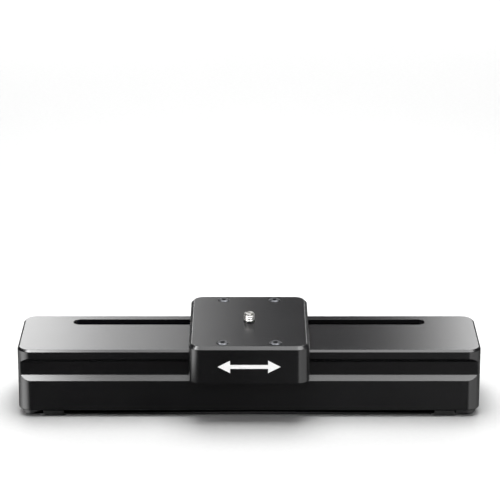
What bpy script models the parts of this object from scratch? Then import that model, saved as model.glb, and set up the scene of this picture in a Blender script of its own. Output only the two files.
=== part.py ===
"""Motorised camera slider.

A low aluminium body carries a C-shaped carriage on four rollers, whose bevelled
rims run in shallow grooves along its front and rear. A gear motor turns a
leadscrew inside the body, and its nut pulls the carriage through an arm that
rises out of the deck slot.

Units are metres. X runs along the travel, -Y is the front, and Z = 0 is the
surface that the rubber feet stand on. The origin is below the body's centre.
"""

import math

import bmesh
import bpy

MM = 0.001
FIT = 0.3 * MM  # gap between pieces that touch
RUN = 0.1 * MM  # running clearance round a shaft

# Body
BODY_LENGTH = 260.0 * MM
BODY_DEPTH = 58.5 * MM
DECK_TOP = 40.0 * MM
BODY_BOTTOM = 4.0 * MM
BODY_CORNER = 7.5 * MM
DECK_CHAMFER = 1.15 * MM
BOTTOM_CHAMFER = 0.4 * MM
WALL = 2.0 * MM
DECK_THICKNESS = 2.5 * MM

# Grooves that the rollers run in, with sides at 45 degrees
GROOVE_LOW = 21.7 * MM
GROOVE_HIGH = 34.9 * MM
GROOVE_DEPTH = 2.8 * MM
GROOVE_FLOOR = BODY_DEPTH / 2 - GROOVE_DEPTH

# Slot in the deck
SLOT_HALF_LENGTH = 101.25 * MM
SLOT_WIDTH = 8.9 * MM
SLOT_Y = 18.0 * MM

# Inside of the body
CAVITY_HALF_LENGTH = 120.0 * MM
CAVITY_HALF_DEPTH = 27.0 * MM
LUG_Y = 23.0 * MM
LUG_TOP = 14.5 * MM

# Base plate and feet
PLATE_LOW = 0.9 * MM
PLATE_STEP = 3.7 * MM
PLATE_TOP = 5.5 * MM
PLATE_INSET = 2.0 * MM
FOOT_SIZE = (16.5 * MM, 8.0 * MM, 3.4 * MM)
FOOT_CENTRE = (110.25 * MM, 23.5 * MM)
FOOT_CORNER = 3.9 * MM
BASE_SCREW_POINTS = [
    (-124.0 * MM, -14.0 * MM),
    (-124.0 * MM, 14.0 * MM),
    (124.0 * MM, -14.0 * MM),
    (124.0 * MM, 14.0 * MM),
    (0.0, -LUG_Y),
    (0.0, LUG_Y),
    (-105.5 * MM, 12.3 * MM),
    (105.5 * MM, 12.3 * MM),
]
BASE_SCREW_TIP = 13.0 * MM
BASE_HEAD_RADIUS = 2.75 * MM
BASE_HEAD_SPAN = (1.1 * MM, 2.5 * MM)

# Tripod bush
BUSH_FLANGE_RADIUS = 9.0 * MM
BUSH_FLANGE_TOP = 2.1 * MM
BUSH_BODY_RADIUS = 7.0 * MM
BUSH_BODY_TOP = 9.5 * MM
BUSH_BORE_RADIUS = 4.76 * MM
BUSH_BORE_TOP = 8.3 * MM

# Screws
M3_SHANK = 1.5 * MM
M3_HOLE = M3_SHANK + FIT

# Carriage
CARRIAGE_HALF_WIDTH = 33.65 * MM
CARRIAGE_HALF_DEPTH = 43.5 * MM
CARRIAGE_TOP = 47.1 * MM
CARRIAGE_UNDERSIDE = 41.0 * MM
CHEEK_LOW = 25.35 * MM
CHEEK_INNER = 30.25 * MM
CARRIAGE_CORNER = 7.5 * MM
CARRIAGE_CHAMFER = 1.7 * MM
CARRIAGE_SCREW_X = 14.7 * MM
CARRIAGE_SCREW_Y = 36.15 * MM
SCREW_HEAD_RADIUS = 3.2 * MM
SCREW_HEAD_TOP = 47.6 * MM
SCREW_HEAD_LOW = 44.6 * MM
SCREW_HEAD_CHAMFER = 0.5 * MM
SCREW_TIP = 30.6 * MM

# Roller blocks and rollers, which turn on upright axles
BLOCK_HALF_LENGTH = 29.7 * MM
BLOCK_OUTER = 38.0 * MM
BLOCK_INNER = 29.75 * MM
BLOCK_LOW = 25.65 * MM
BLOCK_TOP = 38.2 * MM
ROLLER_X = 23.5 * MM
ROLLER_Z = (GROOVE_LOW + GROOVE_HIGH) / 2
ROLLER_RADIUS = 5.5 * MM
ROLLER_BEVEL = 1.7 * MM
ROLLER_HALF_CROWN = 3.6 * MM
ROLLER_HALF_HEIGHT = ROLLER_HALF_CROWN + ROLLER_BEVEL
ROLLER_Y = GROOVE_FLOOR + 0.2 * MM + ROLLER_RADIUS
WELL_RADIUS = 6.2 * MM
WELL_TOP = 34.0 * MM
AXLE_RADIUS = 1.5 * MM
AXLE_HEAD_RADIUS = 2.4 * MM
AXLE_TOP = 37.4 * MM

# Camera stud
STUD_RADIUS = 3.175 * MM
STUD_TOP = 52.1 * MM
STUD_HEAD_RADIUS = 5.5 * MM
STUD_HEAD_SPAN = (42.4 * MM, 43.6 * MM)
RETAINER_RADIUS = 8.0 * MM
RETAINER_SPAN = (41.1 * MM, 42.1 * MM)
STUD_SLOT_WIDTH = 1.1 * MM
STUD_SLOT_DEPTH = 1.3 * MM
STUD_SLOT_ANGLE = math.radians(125.0)

# Leadscrew and its nut
SCREW_Y = 12.3 * MM
SCREW_Z = 22.0 * MM
SCREW_RADIUS = 3.0 * MM
SCREW_SPAN = (-113.0 * MM, 118.2 * MM)
NUT_HALF_LENGTH = 20.0 * MM
ARM_Y = 17.9 * MM
ARM_SCREW_X = 15.0 * MM
ARM_SCREW_Y = 17.6 * MM
ARM_SCREW_TIP = 44.5 * MM
ARM_HEAD_RADIUS = 2.5 * MM
ARM_HEAD_TOP = 18.6 * MM
NUT_LOW = 16.3 * MM
NUT_TOP = 28.0 * MM

# Blocks that hold the leadscrew, between these distances from the middle
END_BLOCK_SPAN = (102.5 * MM, 108.5 * MM)
END_BLOCK_MIDDLE = sum(END_BLOCK_SPAN) / 2
END_BLOCK_BACK = 21.5 * MM
END_BLOCK_TOP = 29.5 * MM
BEARING_RADIUS = 5.0 * MM
BEARING_HALF_WIDTH = 2.0 * MM
BUMPER_MIDDLE = 99.2 * MM
BUMPER_HALF_WIDTH = 3.0 * MM
BUMPER_BORE = 3.4 * MM
COLLAR_SPAN = (-112.3 * MM, -109.3 * MM)

# Gears: the pinion lies in front of the leadscrew and lower
GEAR_MODULE = 1.0 * MM
GEAR_TEETH = 16
PINION_TEETH = 14
PRESSURE_ANGLE = math.radians(20.0)
BACKLASH = 0.12 * MM
GEAR_SPAN = (112.0 * MM, 117.0 * MM)
PINION_SPAN = (112.3 * MM, 116.7 * MM)
CENTRE_DISTANCE = GEAR_MODULE * (GEAR_TEETH + PINION_TEETH) / 2
PINION_DROP = 5.1 * MM
PINION_Z = SCREW_Z - PINION_DROP
PINION_Y = SCREW_Y - math.sqrt(CENTRE_DISTANCE**2 - PINION_DROP**2)

# Motor and gearbox on the pinion's axis
GEARBOX_RADIUS = 8.0 * MM
GEARBOX_SPAN = (79.0 * MM, 102.2 * MM)
MOTOR_RADIUS = 7.7 * MM
MOTOR_SPAN = (44.0 * MM, 77.7 * MM)
MOTOR_CAP_RADIUS = 5.0 * MM
MOTOR_CAP = 2.0 * MM
SHAFT_RADIUS = 1.5 * MM
SHAFT_SPAN = (99.0 * MM, 117.6 * MM)

# Rear panel: sockets, button and light in a row
PANEL_Z = 11.6 * MM
DC_SOCKET_X = -90.0 * MM
LINK_PORT_X = -77.0 * MM
BUTTON_X = -64.0 * MM
LIGHT_X = -55.0 * MM
BUTTON_RADIUS = 4.0 * MM

ALONG_X = (math.pi / 2, 0.0, math.pi / 2)  # turns local X, Y, Z to Y, Z, X
ALONG_Y = (-math.pi / 2, 0.0, 0.0)  # turns local Z to Y

PARTS = "camera_slider"
CUTTERS = "camera_slider_cutters"


def clear_scene():
    """Remove every object that the file opened with."""
    for obj in list(bpy.data.objects):
        bpy.data.objects.remove(obj)


def collection(name):
    """Collection of that name, made and linked the first time."""
    found = bpy.data.collections.get(name)
    if found is None:
        found = bpy.data.collections.new(name)
        bpy.context.scene.collection.children.link(found)
    return found


def finish_material(name, colour, roughness, metallic):
    """Principled material with one colour, roughness and metallic value."""
    material = bpy.data.materials.new(name)
    material.use_nodes = True
    shader = material.node_tree.nodes["Principled BSDF"]
    shader.inputs["Base Color"].default_value = (*colour, 1.0)
    shader.inputs["Roughness"].default_value = roughness
    shader.inputs["Metallic"].default_value = metallic
    return material


FINISHES = {
    "black_anodised": ((0.012, 0.012, 0.013), 0.32, 0.6),
    "steel": ((0.62, 0.62, 0.63), 0.22, 1.0),
    "dark_steel": ((0.06, 0.06, 0.065), 0.35, 1.0),
    "brass": ((0.72, 0.5, 0.2), 0.3, 1.0),
    "bare_aluminium": ((0.6, 0.6, 0.62), 0.4, 1.0),
    "rubber": ((0.02, 0.02, 0.02), 0.8, 0.0),
    "acetal": ((0.75, 0.75, 0.72), 0.45, 0.0),
    "black_plastic": ((0.02, 0.02, 0.022), 0.5, 0.0),
    "circuit_board": ((0.02, 0.12, 0.05), 0.5, 0.0),
    "battery_wrap": ((0.05, 0.12, 0.35), 0.4, 0.0),
    "clear_plastic": ((0.7, 0.75, 0.72), 0.1, 0.0),
}


def place(obj, finish, smooth=False, into=PARTS):
    """Give an object its material and collection, and smooth its round faces."""
    if smooth:
        obj.data.shade_smooth()
        obj.data.set_sharp_from_angle(angle=math.radians(30.0))
    if finish:
        obj.data.materials.append(finish_material(obj.name + "_finish", *FINISHES[finish]))
    collection(into).objects.link(obj)
    return obj


def as_cutter(obj):
    """Mark an object as a Boolean cutter."""
    obj.hide_render = True
    obj.display_type = "WIRE"
    return obj


def cut(obj, *cutters, operation="DIFFERENCE"):
    """Add one Boolean modifier for each cutter."""
    for cutter in cutters:
        modifier = obj.modifiers.new(cutter.name, "BOOLEAN")
        modifier.operation = operation
        modifier.solver = "EXACT"
        modifier.object = cutter
    return obj


def rim_edges(bm, height):
    """Edges that lie in the level plane at this height."""
    return [e for e in bm.edges if all(abs(v.co.z - height) < 1e-7 for v in e.verts)]


def block(name, low, high, corner=0.0, top=0.0, bottom=0.0, segments=6, finish=None):
    """Box between two opposite points, with rounded upright edges and chamfered rims.

    With no finish it is a cutter.
    """
    size = [b - a for a, b in zip(low, high)]
    bm = bmesh.new()
    bmesh.ops.create_cube(bm, size=1.0)
    bmesh.ops.scale(bm, vec=size, verts=bm.verts)
    if corner:
        upright = [e for e in bm.edges if abs(e.verts[0].co.z - e.verts[1].co.z) > size[2] / 2]
        bmesh.ops.bevel(
            bm, geom=upright, offset=corner, segments=segments, profile=0.5, affect="EDGES"
        )
    for height, chamfer in ((size[2] / 2, top), (-size[2] / 2, bottom)):
        if chamfer:
            bmesh.ops.bevel(
                bm, geom=rim_edges(bm, height), offset=chamfer, segments=1, affect="EDGES"
            )
    mesh = bpy.data.meshes.new(name)
    bm.to_mesh(mesh)
    bm.free()
    obj = bpy.data.objects.new(name, mesh)
    obj.location = [(a + b) / 2 for a, b in zip(low, high)]
    if finish:
        return place(obj, finish, smooth=corner > 0)
    return as_cutter(place(obj, None, into=CUTTERS))


def turned(name, profile, location, rotation=(0, 0, 0), steps=20, finish=None):
    """Piece turned round its local Z axis from (radius, height) points.

    The points run down the outer side. A profile that starts off the axis is a
    closed ring section, and one that starts on the axis ends on it too.
    """
    count = len(profile)
    edges = [(i, i + 1) for i in range(count - 1)]
    if profile[0][0] > 0:
        edges.append((count - 1, 0))
    mesh = bpy.data.meshes.new(name)
    mesh.from_pydata([(r, 0.0, z) for r, z in profile], edges, [])
    obj = bpy.data.objects.new(name, mesh)
    obj.location = location
    obj.rotation_euler = rotation
    if finish:
        place(obj, finish)
    else:
        as_cutter(place(obj, None, into=CUTTERS))
    turn = obj.modifiers.new("turn", "SCREW")
    turn.axis = "Z"
    turn.angle = 2 * math.pi
    turn.steps = steps
    turn.render_steps = steps
    turn.use_merge_vertices = True
    turn.merge_threshold = 0.00001
    turn.use_smooth_shade = False
    return obj


def rod(name, radius, span, location, rotation=(0, 0, 0), steps=20, finish=None):
    """Plain cylinder from span[0] to span[1] along its local Z axis."""
    profile = [(0.0, span[1]), (radius, span[1]), (radius, span[0]), (0.0, span[0])]
    return turned(name, profile, location, rotation, steps, finish)


def ring(name, outer, inner, span, location, rotation=(0, 0, 0), steps=20, finish=None):
    """Plain ring from span[0] to span[1] along its local Z axis."""
    profile = [(outer, span[1]), (outer, span[0]), (inner, span[0]), (inner, span[1])]
    return turned(name, profile, location, rotation, steps, finish)


def joint_empty(name, location):
    """Empty on a joint's axis, which the moving pieces hang on."""
    empty = bpy.data.objects.new(name, None)
    empty.location = location
    collection(PARTS).objects.link(empty)
    return empty


def hang(empty, *pieces):
    """Parent pieces to an empty and keep them where they are in the world."""
    for piece in pieces:
        piece.parent = empty
        piece.location = piece.location - empty.location


def make_housing():
    """Body: grooved outside, hollow inside, slotted deck and holes for the rear panel."""
    half_length = BODY_LENGTH / 2
    half_depth = BODY_DEPTH / 2
    housing = block(
        "housing",
        (-half_length, -half_depth, BODY_BOTTOM),
        (half_length, half_depth, DECK_TOP),
        BODY_CORNER,
        DECK_CHAMFER,
        BOTTOM_CHAMFER,
        8,
        "black_anodised",
    )
    past = 5 * MM
    lower = block(
        "cut_lower_cavity",
        (-CAVITY_HALF_LENGTH, -CAVITY_HALF_DEPTH, BODY_BOTTOM - past),
        (CAVITY_HALF_LENGTH, CAVITY_HALF_DEPTH, GROOVE_LOW - WALL),
        4 * MM,
        segments=3,
    )
    upper = block(
        "cut_upper_cavity",
        (-CAVITY_HALF_LENGTH + MM, WALL - GROOVE_FLOOR, GROOVE_LOW - 2 * WALL),
        (CAVITY_HALF_LENGTH - MM, GROOVE_FLOOR - WALL, DECK_TOP - DECK_THICKNESS),
        3 * MM,
        segments=3,
    )
    front_groove = groove_cutter("cut_front_groove", -1)
    rear_groove = groove_cutter("cut_rear_groove", 1)
    slot = block(
        "cut_deck_slot",
        (-SLOT_HALF_LENGTH, SLOT_Y - SLOT_WIDTH / 2, DECK_TOP - DECK_THICKNESS - past),
        (SLOT_HALF_LENGTH, SLOT_Y + SLOT_WIDTH / 2, DECK_TOP + past),
        SLOT_WIDTH / 2 * 0.998,
        segments=8,
    )
    cut(housing, lower, upper, front_groove, rear_groove, slot)
    lug_half = 4.5 * MM
    for side, name in ((-1, "front"), (1, "rear")):
        inner = side * (LUG_Y - 3.5 * MM)
        outer = side * (CAVITY_HALF_DEPTH + 0.5 * MM)
        lug = block(
            "join_" + name + "_lug",
            (-lug_half, min(inner, outer), PLATE_TOP + FIT),
            (lug_half, max(inner, outer), LUG_TOP),
        )
        cut(housing, lug, operation="UNION")
    for number, (x, y) in enumerate(BASE_SCREW_POINTS[:6], 1):
        hole = rod(
            "cut_housing_hole_%d" % number, M3_HOLE, (-past, BASE_SCREW_TIP + FIT), (x, y, 0), steps=12
        )
        cut(housing, hole)
    for name, x, radius in (
        ("dc_socket", DC_SOCKET_X, 4.0 * MM),
        ("link_port", LINK_PORT_X, 2.9 * MM),
        ("power_button", BUTTON_X, BUTTON_RADIUS),
        ("status_light", LIGHT_X, 1.1 * MM),
    ):
        hole = rod(
            "cut_" + name + "_hole",
            radius + FIT,
            (CAVITY_HALF_DEPTH - MM, half_depth + MM),
            (x, 0, PANEL_Z),
            ALONG_Y,
            20,
        )
        cut(housing, hole)
    return housing


def groove_cutter(name, side):
    """Bar with a bevelled nose, longer than the body, so the groove runs out at its corners."""
    middle = (GROOVE_LOW + GROOVE_HIGH) / 2
    outside = 1 * MM
    half_height = (GROOVE_HIGH - GROOVE_LOW) / 2
    bm = bmesh.new()
    bmesh.ops.create_cube(bm, size=1.0)
    reach = GROOVE_DEPTH + outside
    bmesh.ops.scale(bm, vec=(BODY_LENGTH + 4 * MM, reach, 2 * (half_height + outside)), verts=bm.verts)
    for vert in bm.verts:
        if vert.co.y * side < 0:
            vert.co.z -= math.copysign(reach, vert.co.z)
    mesh = bpy.data.meshes.new(name)
    bm.to_mesh(mesh)
    bm.free()
    cutter = bpy.data.objects.new(name, mesh)
    cutter.location = (0.0, side * (GROOVE_FLOOR + reach / 2), middle)
    return as_cutter(place(cutter, None, into=CUTTERS))


def make_base_plate():
    """Plate that closes the body, stepped into its opening, with pockets for the feet."""
    half_length = BODY_LENGTH / 2 - PLATE_INSET
    half_depth = BODY_DEPTH / 2 - PLATE_INSET
    plate = block(
        "base_plate",
        (-half_length, -half_depth, PLATE_LOW),
        (half_length, half_depth, PLATE_STEP),
        BODY_CORNER - PLATE_INSET,
        bottom=0.5 * MM,
        segments=5,
        finish="black_plastic",
    )
    step = block(
        "join_plate_step",
        (-CAVITY_HALF_LENGTH + FIT, -CAVITY_HALF_DEPTH + FIT, PLATE_STEP - 0.5 * MM),
        (CAVITY_HALF_LENGTH - FIT, CAVITY_HALF_DEPTH - FIT, PLATE_TOP),
        3.7 * MM,
        segments=3,
    )
    cut(plate, step, operation="UNION")
    for x, y, name in foot_places():
        pocket = block(
            "cut_pocket_" + name,
            (x - FOOT_SIZE[0] / 2 - FIT, y - FOOT_SIZE[1] / 2 - FIT, -MM),
            (x + FOOT_SIZE[0] / 2 + FIT, y + FOOT_SIZE[1] / 2 + FIT, FOOT_SIZE[2] + FIT),
            FOOT_CORNER + FIT,
            segments=5,
        )
        cut(plate, pocket)
    for number, (x, y) in enumerate(BASE_SCREW_POINTS, 1):
        hole = turned(
            "cut_plate_hole_%d" % number,
            [
                (0.0, 8 * MM),
                (M3_HOLE, 8 * MM),
                (M3_HOLE, BASE_HEAD_SPAN[1] + FIT),
                (BASE_HEAD_RADIUS + FIT, BASE_HEAD_SPAN[1] + FIT),
                (BASE_HEAD_RADIUS + FIT, 0.0),
                (0.0, 0.0),
            ],
            (x, y, 0),
            steps=12,
        )
        cut(plate, hole)
    bush_seat = turned(
        "cut_bush_seat",
        [
            (0.0, 8 * MM),
            (BUSH_BODY_RADIUS + FIT, 8 * MM),
            (BUSH_BODY_RADIUS + FIT, BUSH_FLANGE_TOP + FIT),
            (BUSH_FLANGE_RADIUS + FIT, BUSH_FLANGE_TOP + FIT),
            (BUSH_FLANGE_RADIUS + FIT, 0.0),
            (0.0, 0.0),
        ],
        (0, 0, 0),
        steps=24,
    )
    cut(plate, bush_seat)
    return plate


def foot_places():
    """Centre and name of each foot."""
    return [
        (sx * FOOT_CENTRE[0], sy * FOOT_CENTRE[1], depth + "_" + side)
        for sy, depth in ((-1, "front"), (1, "rear"))
        for sx, side in ((-1, "left"), (1, "right"))
    ]


def make_feet():
    """Oblong rubber pads, pressed into the base plate's pockets."""
    for x, y, name in foot_places():
        block(
            name + "_foot",
            (x - FOOT_SIZE[0] / 2, y - FOOT_SIZE[1] / 2, 0.0),
            (x + FOOT_SIZE[0] / 2, y + FOOT_SIZE[1] / 2, FOOT_SIZE[2]),
            FOOT_CORNER,
            bottom=0.4 * MM,
            segments=5,
            finish="rubber",
        )


def socket_cutter(name, across, top, low, location):
    """Six-sided driving socket, measured across its corners."""
    return rod(name, across / 2, (low, top), location, steps=6)


def make_base_screws():
    """Low-head screws that go up through the base plate."""
    for number, (x, y) in enumerate(BASE_SCREW_POINTS, 1):
        screw = turned(
            "base_screw_%d" % number,
            [
                (0.0, BASE_SCREW_TIP),
                (M3_SHANK, BASE_SCREW_TIP),
                (M3_SHANK, BASE_HEAD_SPAN[1]),
                (BASE_HEAD_RADIUS, BASE_HEAD_SPAN[1]),
                (BASE_HEAD_RADIUS, BASE_HEAD_SPAN[0]),
                (0.0, BASE_HEAD_SPAN[0]),
            ],
            (x, y, 0),
            steps=12,
            finish="dark_steel",
        )
        cut(screw, socket_cutter("cut_base_socket_%d" % number, 2.3 * MM, 2.0 * MM, 0.0, (x, y, 0)))


def make_tripod_bush():
    """Flanged steel bush with a 3/8 in hole for a tripod screw, open downwards."""
    return turned(
        "tripod_bush",
        [
            (0.0, BUSH_BODY_TOP),
            (BUSH_BODY_RADIUS, BUSH_BODY_TOP),
            (BUSH_BODY_RADIUS, BUSH_FLANGE_TOP),
            (BUSH_FLANGE_RADIUS, BUSH_FLANGE_TOP),
            (BUSH_FLANGE_RADIUS, PLATE_LOW),
            (BUSH_BORE_RADIUS, PLATE_LOW),
            (BUSH_BORE_RADIUS, BUSH_BORE_TOP),
            (0.0, BUSH_BORE_TOP),
        ],
        (0, 0, 0),
        steps=24,
        finish="steel",
    )


def end_block(name, side, front):
    """Upright block that holds one end of the leadscrew, screwed to the base plate."""
    inner = side * END_BLOCK_SPAN[0]
    outer = side * END_BLOCK_SPAN[1]
    result = block(
        name,
        (min(inner, outer), front, PLATE_TOP + FIT),
        (max(inner, outer), END_BLOCK_BACK, END_BLOCK_TOP),
        finish="bare_aluminium",
    )
    middle = (inner + outer) / 2
    seat = rod(
        "cut_" + name + "_seat",
        BEARING_RADIUS + FIT,
        (-5 * MM, 5 * MM),
        (middle, SCREW_Y, SCREW_Z),
        ALONG_X,
    )
    screw_hole = rod(
        "cut_" + name + "_screw",
        M3_HOLE,
        (0.0, BASE_SCREW_TIP + FIT),
        (middle, SCREW_Y, 0),
        steps=12,
    )
    return cut(result, seat, screw_hole)


def make_drive():
    """Fixed half of the drive: end blocks, bearings, bumpers, gearbox and motor."""
    end_block("left_bearing_block", -1, 4 * MM)
    drive_plate = end_block("drive_end_plate", 1, -12 * MM)
    shaft_hole = rod(
        "cut_drive_shaft_hole",
        2.0 * MM,
        (-5 * MM, 5 * MM),
        (END_BLOCK_MIDDLE, PINION_Y, PINION_Z),
        ALONG_X,
        16,
    )
    cut(drive_plate, shaft_hole)
    for side, name in ((-1, "left"), (1, "right")):
        ring(
            name + "_screw_bearing",
            BEARING_RADIUS,
            SCREW_RADIUS + RUN,
            (-BEARING_HALF_WIDTH, BEARING_HALF_WIDTH),
            (side * END_BLOCK_MIDDLE, SCREW_Y, SCREW_Z),
            ALONG_X,
            finish="steel",
        )
        ring(
            name + "_end_bumper",
            BEARING_RADIUS,
            BUMPER_BORE,
            (-BUMPER_HALF_WIDTH, BUMPER_HALF_WIDTH),
            (side * BUMPER_MIDDLE, SCREW_Y, SCREW_Z),
            ALONG_X,
            16,
            "rubber",
        )
    ring(
        "gearbox",
        GEARBOX_RADIUS,
        SHAFT_RADIUS + FIT,
        GEARBOX_SPAN,
        (0, PINION_Y, PINION_Z),
        ALONG_X,
        finish="steel",
    )
    turned(
        "drive_motor",
        [
            (0.0, MOTOR_SPAN[1]),
            (MOTOR_RADIUS, MOTOR_SPAN[1]),
            (MOTOR_RADIUS, MOTOR_SPAN[0] + MOTOR_CAP),
            (MOTOR_CAP_RADIUS, MOTOR_SPAN[0] + MOTOR_CAP),
            (MOTOR_CAP_RADIUS, MOTOR_SPAN[0]),
            (0.0, MOTOR_SPAN[0]),
        ],
        (0, PINION_Y, PINION_Z),
        ALONG_X,
        finish="dark_steel",
    )


def make_electronics():
    """Battery, control board, rear sockets, status light and the two inner leads."""
    block(
        "battery_pack",
        (-100 * MM, -16.4 * MM, 6.2 * MM),
        (-14 * MM, 2 * MM, 23.5 * MM),
        3 * MM,
        1.5 * MM,
        1.5 * MM,
        3,
        "battery_wrap",
    )
    board = block(
        "control_board",
        (14 * MM, -26 * MM, 6.2 * MM),
        (96 * MM, -12 * MM, 7.8 * MM),
        1.5 * MM,
        segments=2,
        finish="circuit_board",
    )
    for number, (x, y, length, depth, top) in enumerate(
        (
            (20, -18, 6, 6, 10.8),
            (34, -18, 6, 6, 10.8),
            (50, -19, 10, 10, 9.2),
            (68, -19, 7, 7, 9.0),
            (84, -18, 12, 6, 10.2),
        ),
        1,
    ):
        chip = block(
            "join_chip_%d" % number,
            ((x - length / 2) * MM, (y - depth / 2) * MM, 7.5 * MM),
            ((x + length / 2) * MM, (y + depth / 2) * MM, top * MM),
        )
        cut(board, chip, operation="UNION")
    turned(
        "dc_socket",
        [
            (0.0, 28.2 * MM),
            (0.95 * MM, 28.2 * MM),
            (0.95 * MM, 20.0 * MM),
            (2.9 * MM, 20.0 * MM),
            (2.9 * MM, 29.25 * MM),
            (4.0 * MM, 29.25 * MM),
            (4.0 * MM, 26.7 * MM),
            (4.4 * MM, 26.7 * MM),
            (4.4 * MM, 15.5 * MM),
            (0.0, 15.5 * MM),
        ],
        (DC_SOCKET_X, 0, PANEL_Z),
        ALONG_Y,
        16,
        "black_plastic",
    )
    turned(
        "link_port",
        [
            (0.0, 18.0 * MM),
            (1.75 * MM, 18.0 * MM),
            (1.75 * MM, 29.25 * MM),
            (2.9 * MM, 29.25 * MM),
            (2.9 * MM, 26.7 * MM),
            (3.6 * MM, 26.7 * MM),
            (3.6 * MM, 16.0 * MM),
            (0.0, 16.0 * MM),
        ],
        (LINK_PORT_X, 0, PANEL_Z),
        ALONG_Y,
        16,
        "black_plastic",
    )
    rod(
        "status_light",
        1.1 * MM,
        (25.5 * MM, 29.4 * MM),
        (LIGHT_X, 0, PANEL_Z),
        ALONG_Y,
        12,
        "clear_plastic",
    )
    inner_lead(
        "battery_lead",
        [(-13.6, -7, 15), (-6, -8, 15.4), (4, -12, 15.2), (14, -17, 14.5), (19.4, -18, 13), (20, -18, 11.2)],
    )
    inner_lead(
        "motor_lead",
        [
            (43.6, PINION_Y / MM, PINION_Z / MM),
            (40, -3, 17.2),
            (37, -9, 16),
            (34.6, -16, 14),
            (34, -18, 11.2),
        ],
    )


def inner_lead(name, points_mm):
    """Round two-core lead through a few points, capped at both ends."""
    curve = bpy.data.curves.new(name, "CURVE")
    curve.dimensions = "3D"
    curve.bevel_depth = 0.9 * MM
    curve.bevel_resolution = 1
    curve.use_fill_caps = True
    curve.resolution_u = 3
    spline = curve.splines.new("NURBS")
    spline.points.add(len(points_mm) - 1)
    for point, (x, y, z) in zip(spline.points, points_mm):
        point.co = (x * MM, y * MM, z * MM, 1.0)
    spline.order_u = 3
    spline.use_endpoint_u = True
    lead = bpy.data.objects.new(name, curve)
    return place(lead, "rubber")


def make_carriage():
    """Carriage: top plate with a cheek down the front and another down the rear."""
    carriage = block(
        "carriage_body",
        (-CARRIAGE_HALF_WIDTH, -CARRIAGE_HALF_DEPTH, CHEEK_LOW),
        (CARRIAGE_HALF_WIDTH, CARRIAGE_HALF_DEPTH, CARRIAGE_TOP),
        CARRIAGE_CORNER,
        CARRIAGE_CHAMFER,
        0.4 * MM,
        8,
        "black_anodised",
    )
    past = 8 * MM
    channel = block(
        "cut_channel",
        (-CARRIAGE_HALF_WIDTH - past, -CHEEK_INNER, CHEEK_LOW - past),
        (CARRIAGE_HALF_WIDTH + past, CHEEK_INNER, CARRIAGE_UNDERSIDE),
    )
    cut(carriage, channel)
    for side, name in ((-1, "front"), (1, "rear")):
        pocket = block(
            "cut_" + name + "_block_pocket",
            span_low(side, CHEEK_INNER - MM, BLOCK_OUTER + FIT, -BLOCK_HALF_LENGTH - FIT, CHEEK_LOW - MM),
            span_high(side, CHEEK_INNER - MM, BLOCK_OUTER + FIT, BLOCK_HALF_LENGTH + FIT, BLOCK_TOP + FIT),
        )
        cut(carriage, pocket)
        roller_block(side, name)
    for x, y, name in carriage_screw_places():
        hole = turned(
            "cut_carriage_" + name,
            [
                (0.0, CARRIAGE_TOP + MM),
                (SCREW_HEAD_RADIUS + FIT, CARRIAGE_TOP + MM),
                (SCREW_HEAD_RADIUS + FIT, SCREW_HEAD_LOW - FIT),
                (M3_HOLE, SCREW_HEAD_LOW - FIT),
                (M3_HOLE, BLOCK_TOP - MM),
                (0.0, BLOCK_TOP - MM),
            ],
            (x, y, 0),
            steps=16,
        )
        cut(carriage, hole)
        carriage_screw(x, y, name)
    stud_hole = turned(
        "cut_stud_hole",
        [
            (0.0, CARRIAGE_TOP + MM),
            (STUD_RADIUS + FIT, CARRIAGE_TOP + MM),
            (STUD_RADIUS + FIT, STUD_HEAD_SPAN[1] + FIT),
            (STUD_HEAD_RADIUS + FIT, STUD_HEAD_SPAN[1] + FIT),
            (STUD_HEAD_RADIUS + FIT, RETAINER_SPAN[1] + FIT),
            (RETAINER_RADIUS + FIT, RETAINER_SPAN[1] + FIT),
            (RETAINER_RADIUS + FIT, CARRIAGE_UNDERSIDE - MM),
            (0.0, CARRIAGE_UNDERSIDE - MM),
        ],
        (0, 0, 0),
        steps=20,
    )
    cut(carriage, stud_hole)
    for side in (-1, 1):
        blind = rod(
            "cut_arm_screw_end_%s" % ("left" if side < 0 else "right"),
            M3_HOLE,
            (CARRIAGE_UNDERSIDE - MM, ARM_SCREW_TIP + 0.5 * MM),
            (side * ARM_SCREW_X, ARM_SCREW_Y, 0),
            steps=12,
        )
        cut(carriage, blind)
    return carriage


def span_low(side, near, far, x, z):
    """Lowest corner of a box that reaches from near to far on one side of the middle."""
    return (x, min(side * near, side * far), z)


def span_high(side, near, far, x, z):
    """Highest corner of a box that reaches from near to far on one side of the middle."""
    return (x, max(side * near, side * far), z)


def carriage_screw_places():
    """Centre and name of each screw in the carriage's top."""
    return [
        (sx * CARRIAGE_SCREW_X, sy * CARRIAGE_SCREW_Y, "screw_" + depth + "_" + side)
        for sy, depth in ((-1, "front"), (1, "rear"))
        for sx, side in ((-1, "left"), (1, "right"))
    ]


def carriage_screw(x, y, name):
    """Cap screw with a chamfered head and a hexagon socket."""
    screw = turned(
        "carriage_" + name,
        [
            (0.0, SCREW_HEAD_TOP),
            (SCREW_HEAD_RADIUS - SCREW_HEAD_CHAMFER, SCREW_HEAD_TOP),
            (SCREW_HEAD_RADIUS, SCREW_HEAD_TOP - SCREW_HEAD_CHAMFER),
            (SCREW_HEAD_RADIUS, SCREW_HEAD_LOW),
            (M3_SHANK, SCREW_HEAD_LOW),
            (M3_SHANK, SCREW_TIP),
            (0.0, SCREW_TIP),
        ],
        (x, y, 0),
        steps=16,
        finish="dark_steel",
    )
    low = SCREW_HEAD_TOP - 1.6 * MM
    cut(screw, socket_cutter("cut_" + name + "_socket", 2.9 * MM, SCREW_HEAD_TOP + MM, low, (x, y, 0)))


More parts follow.
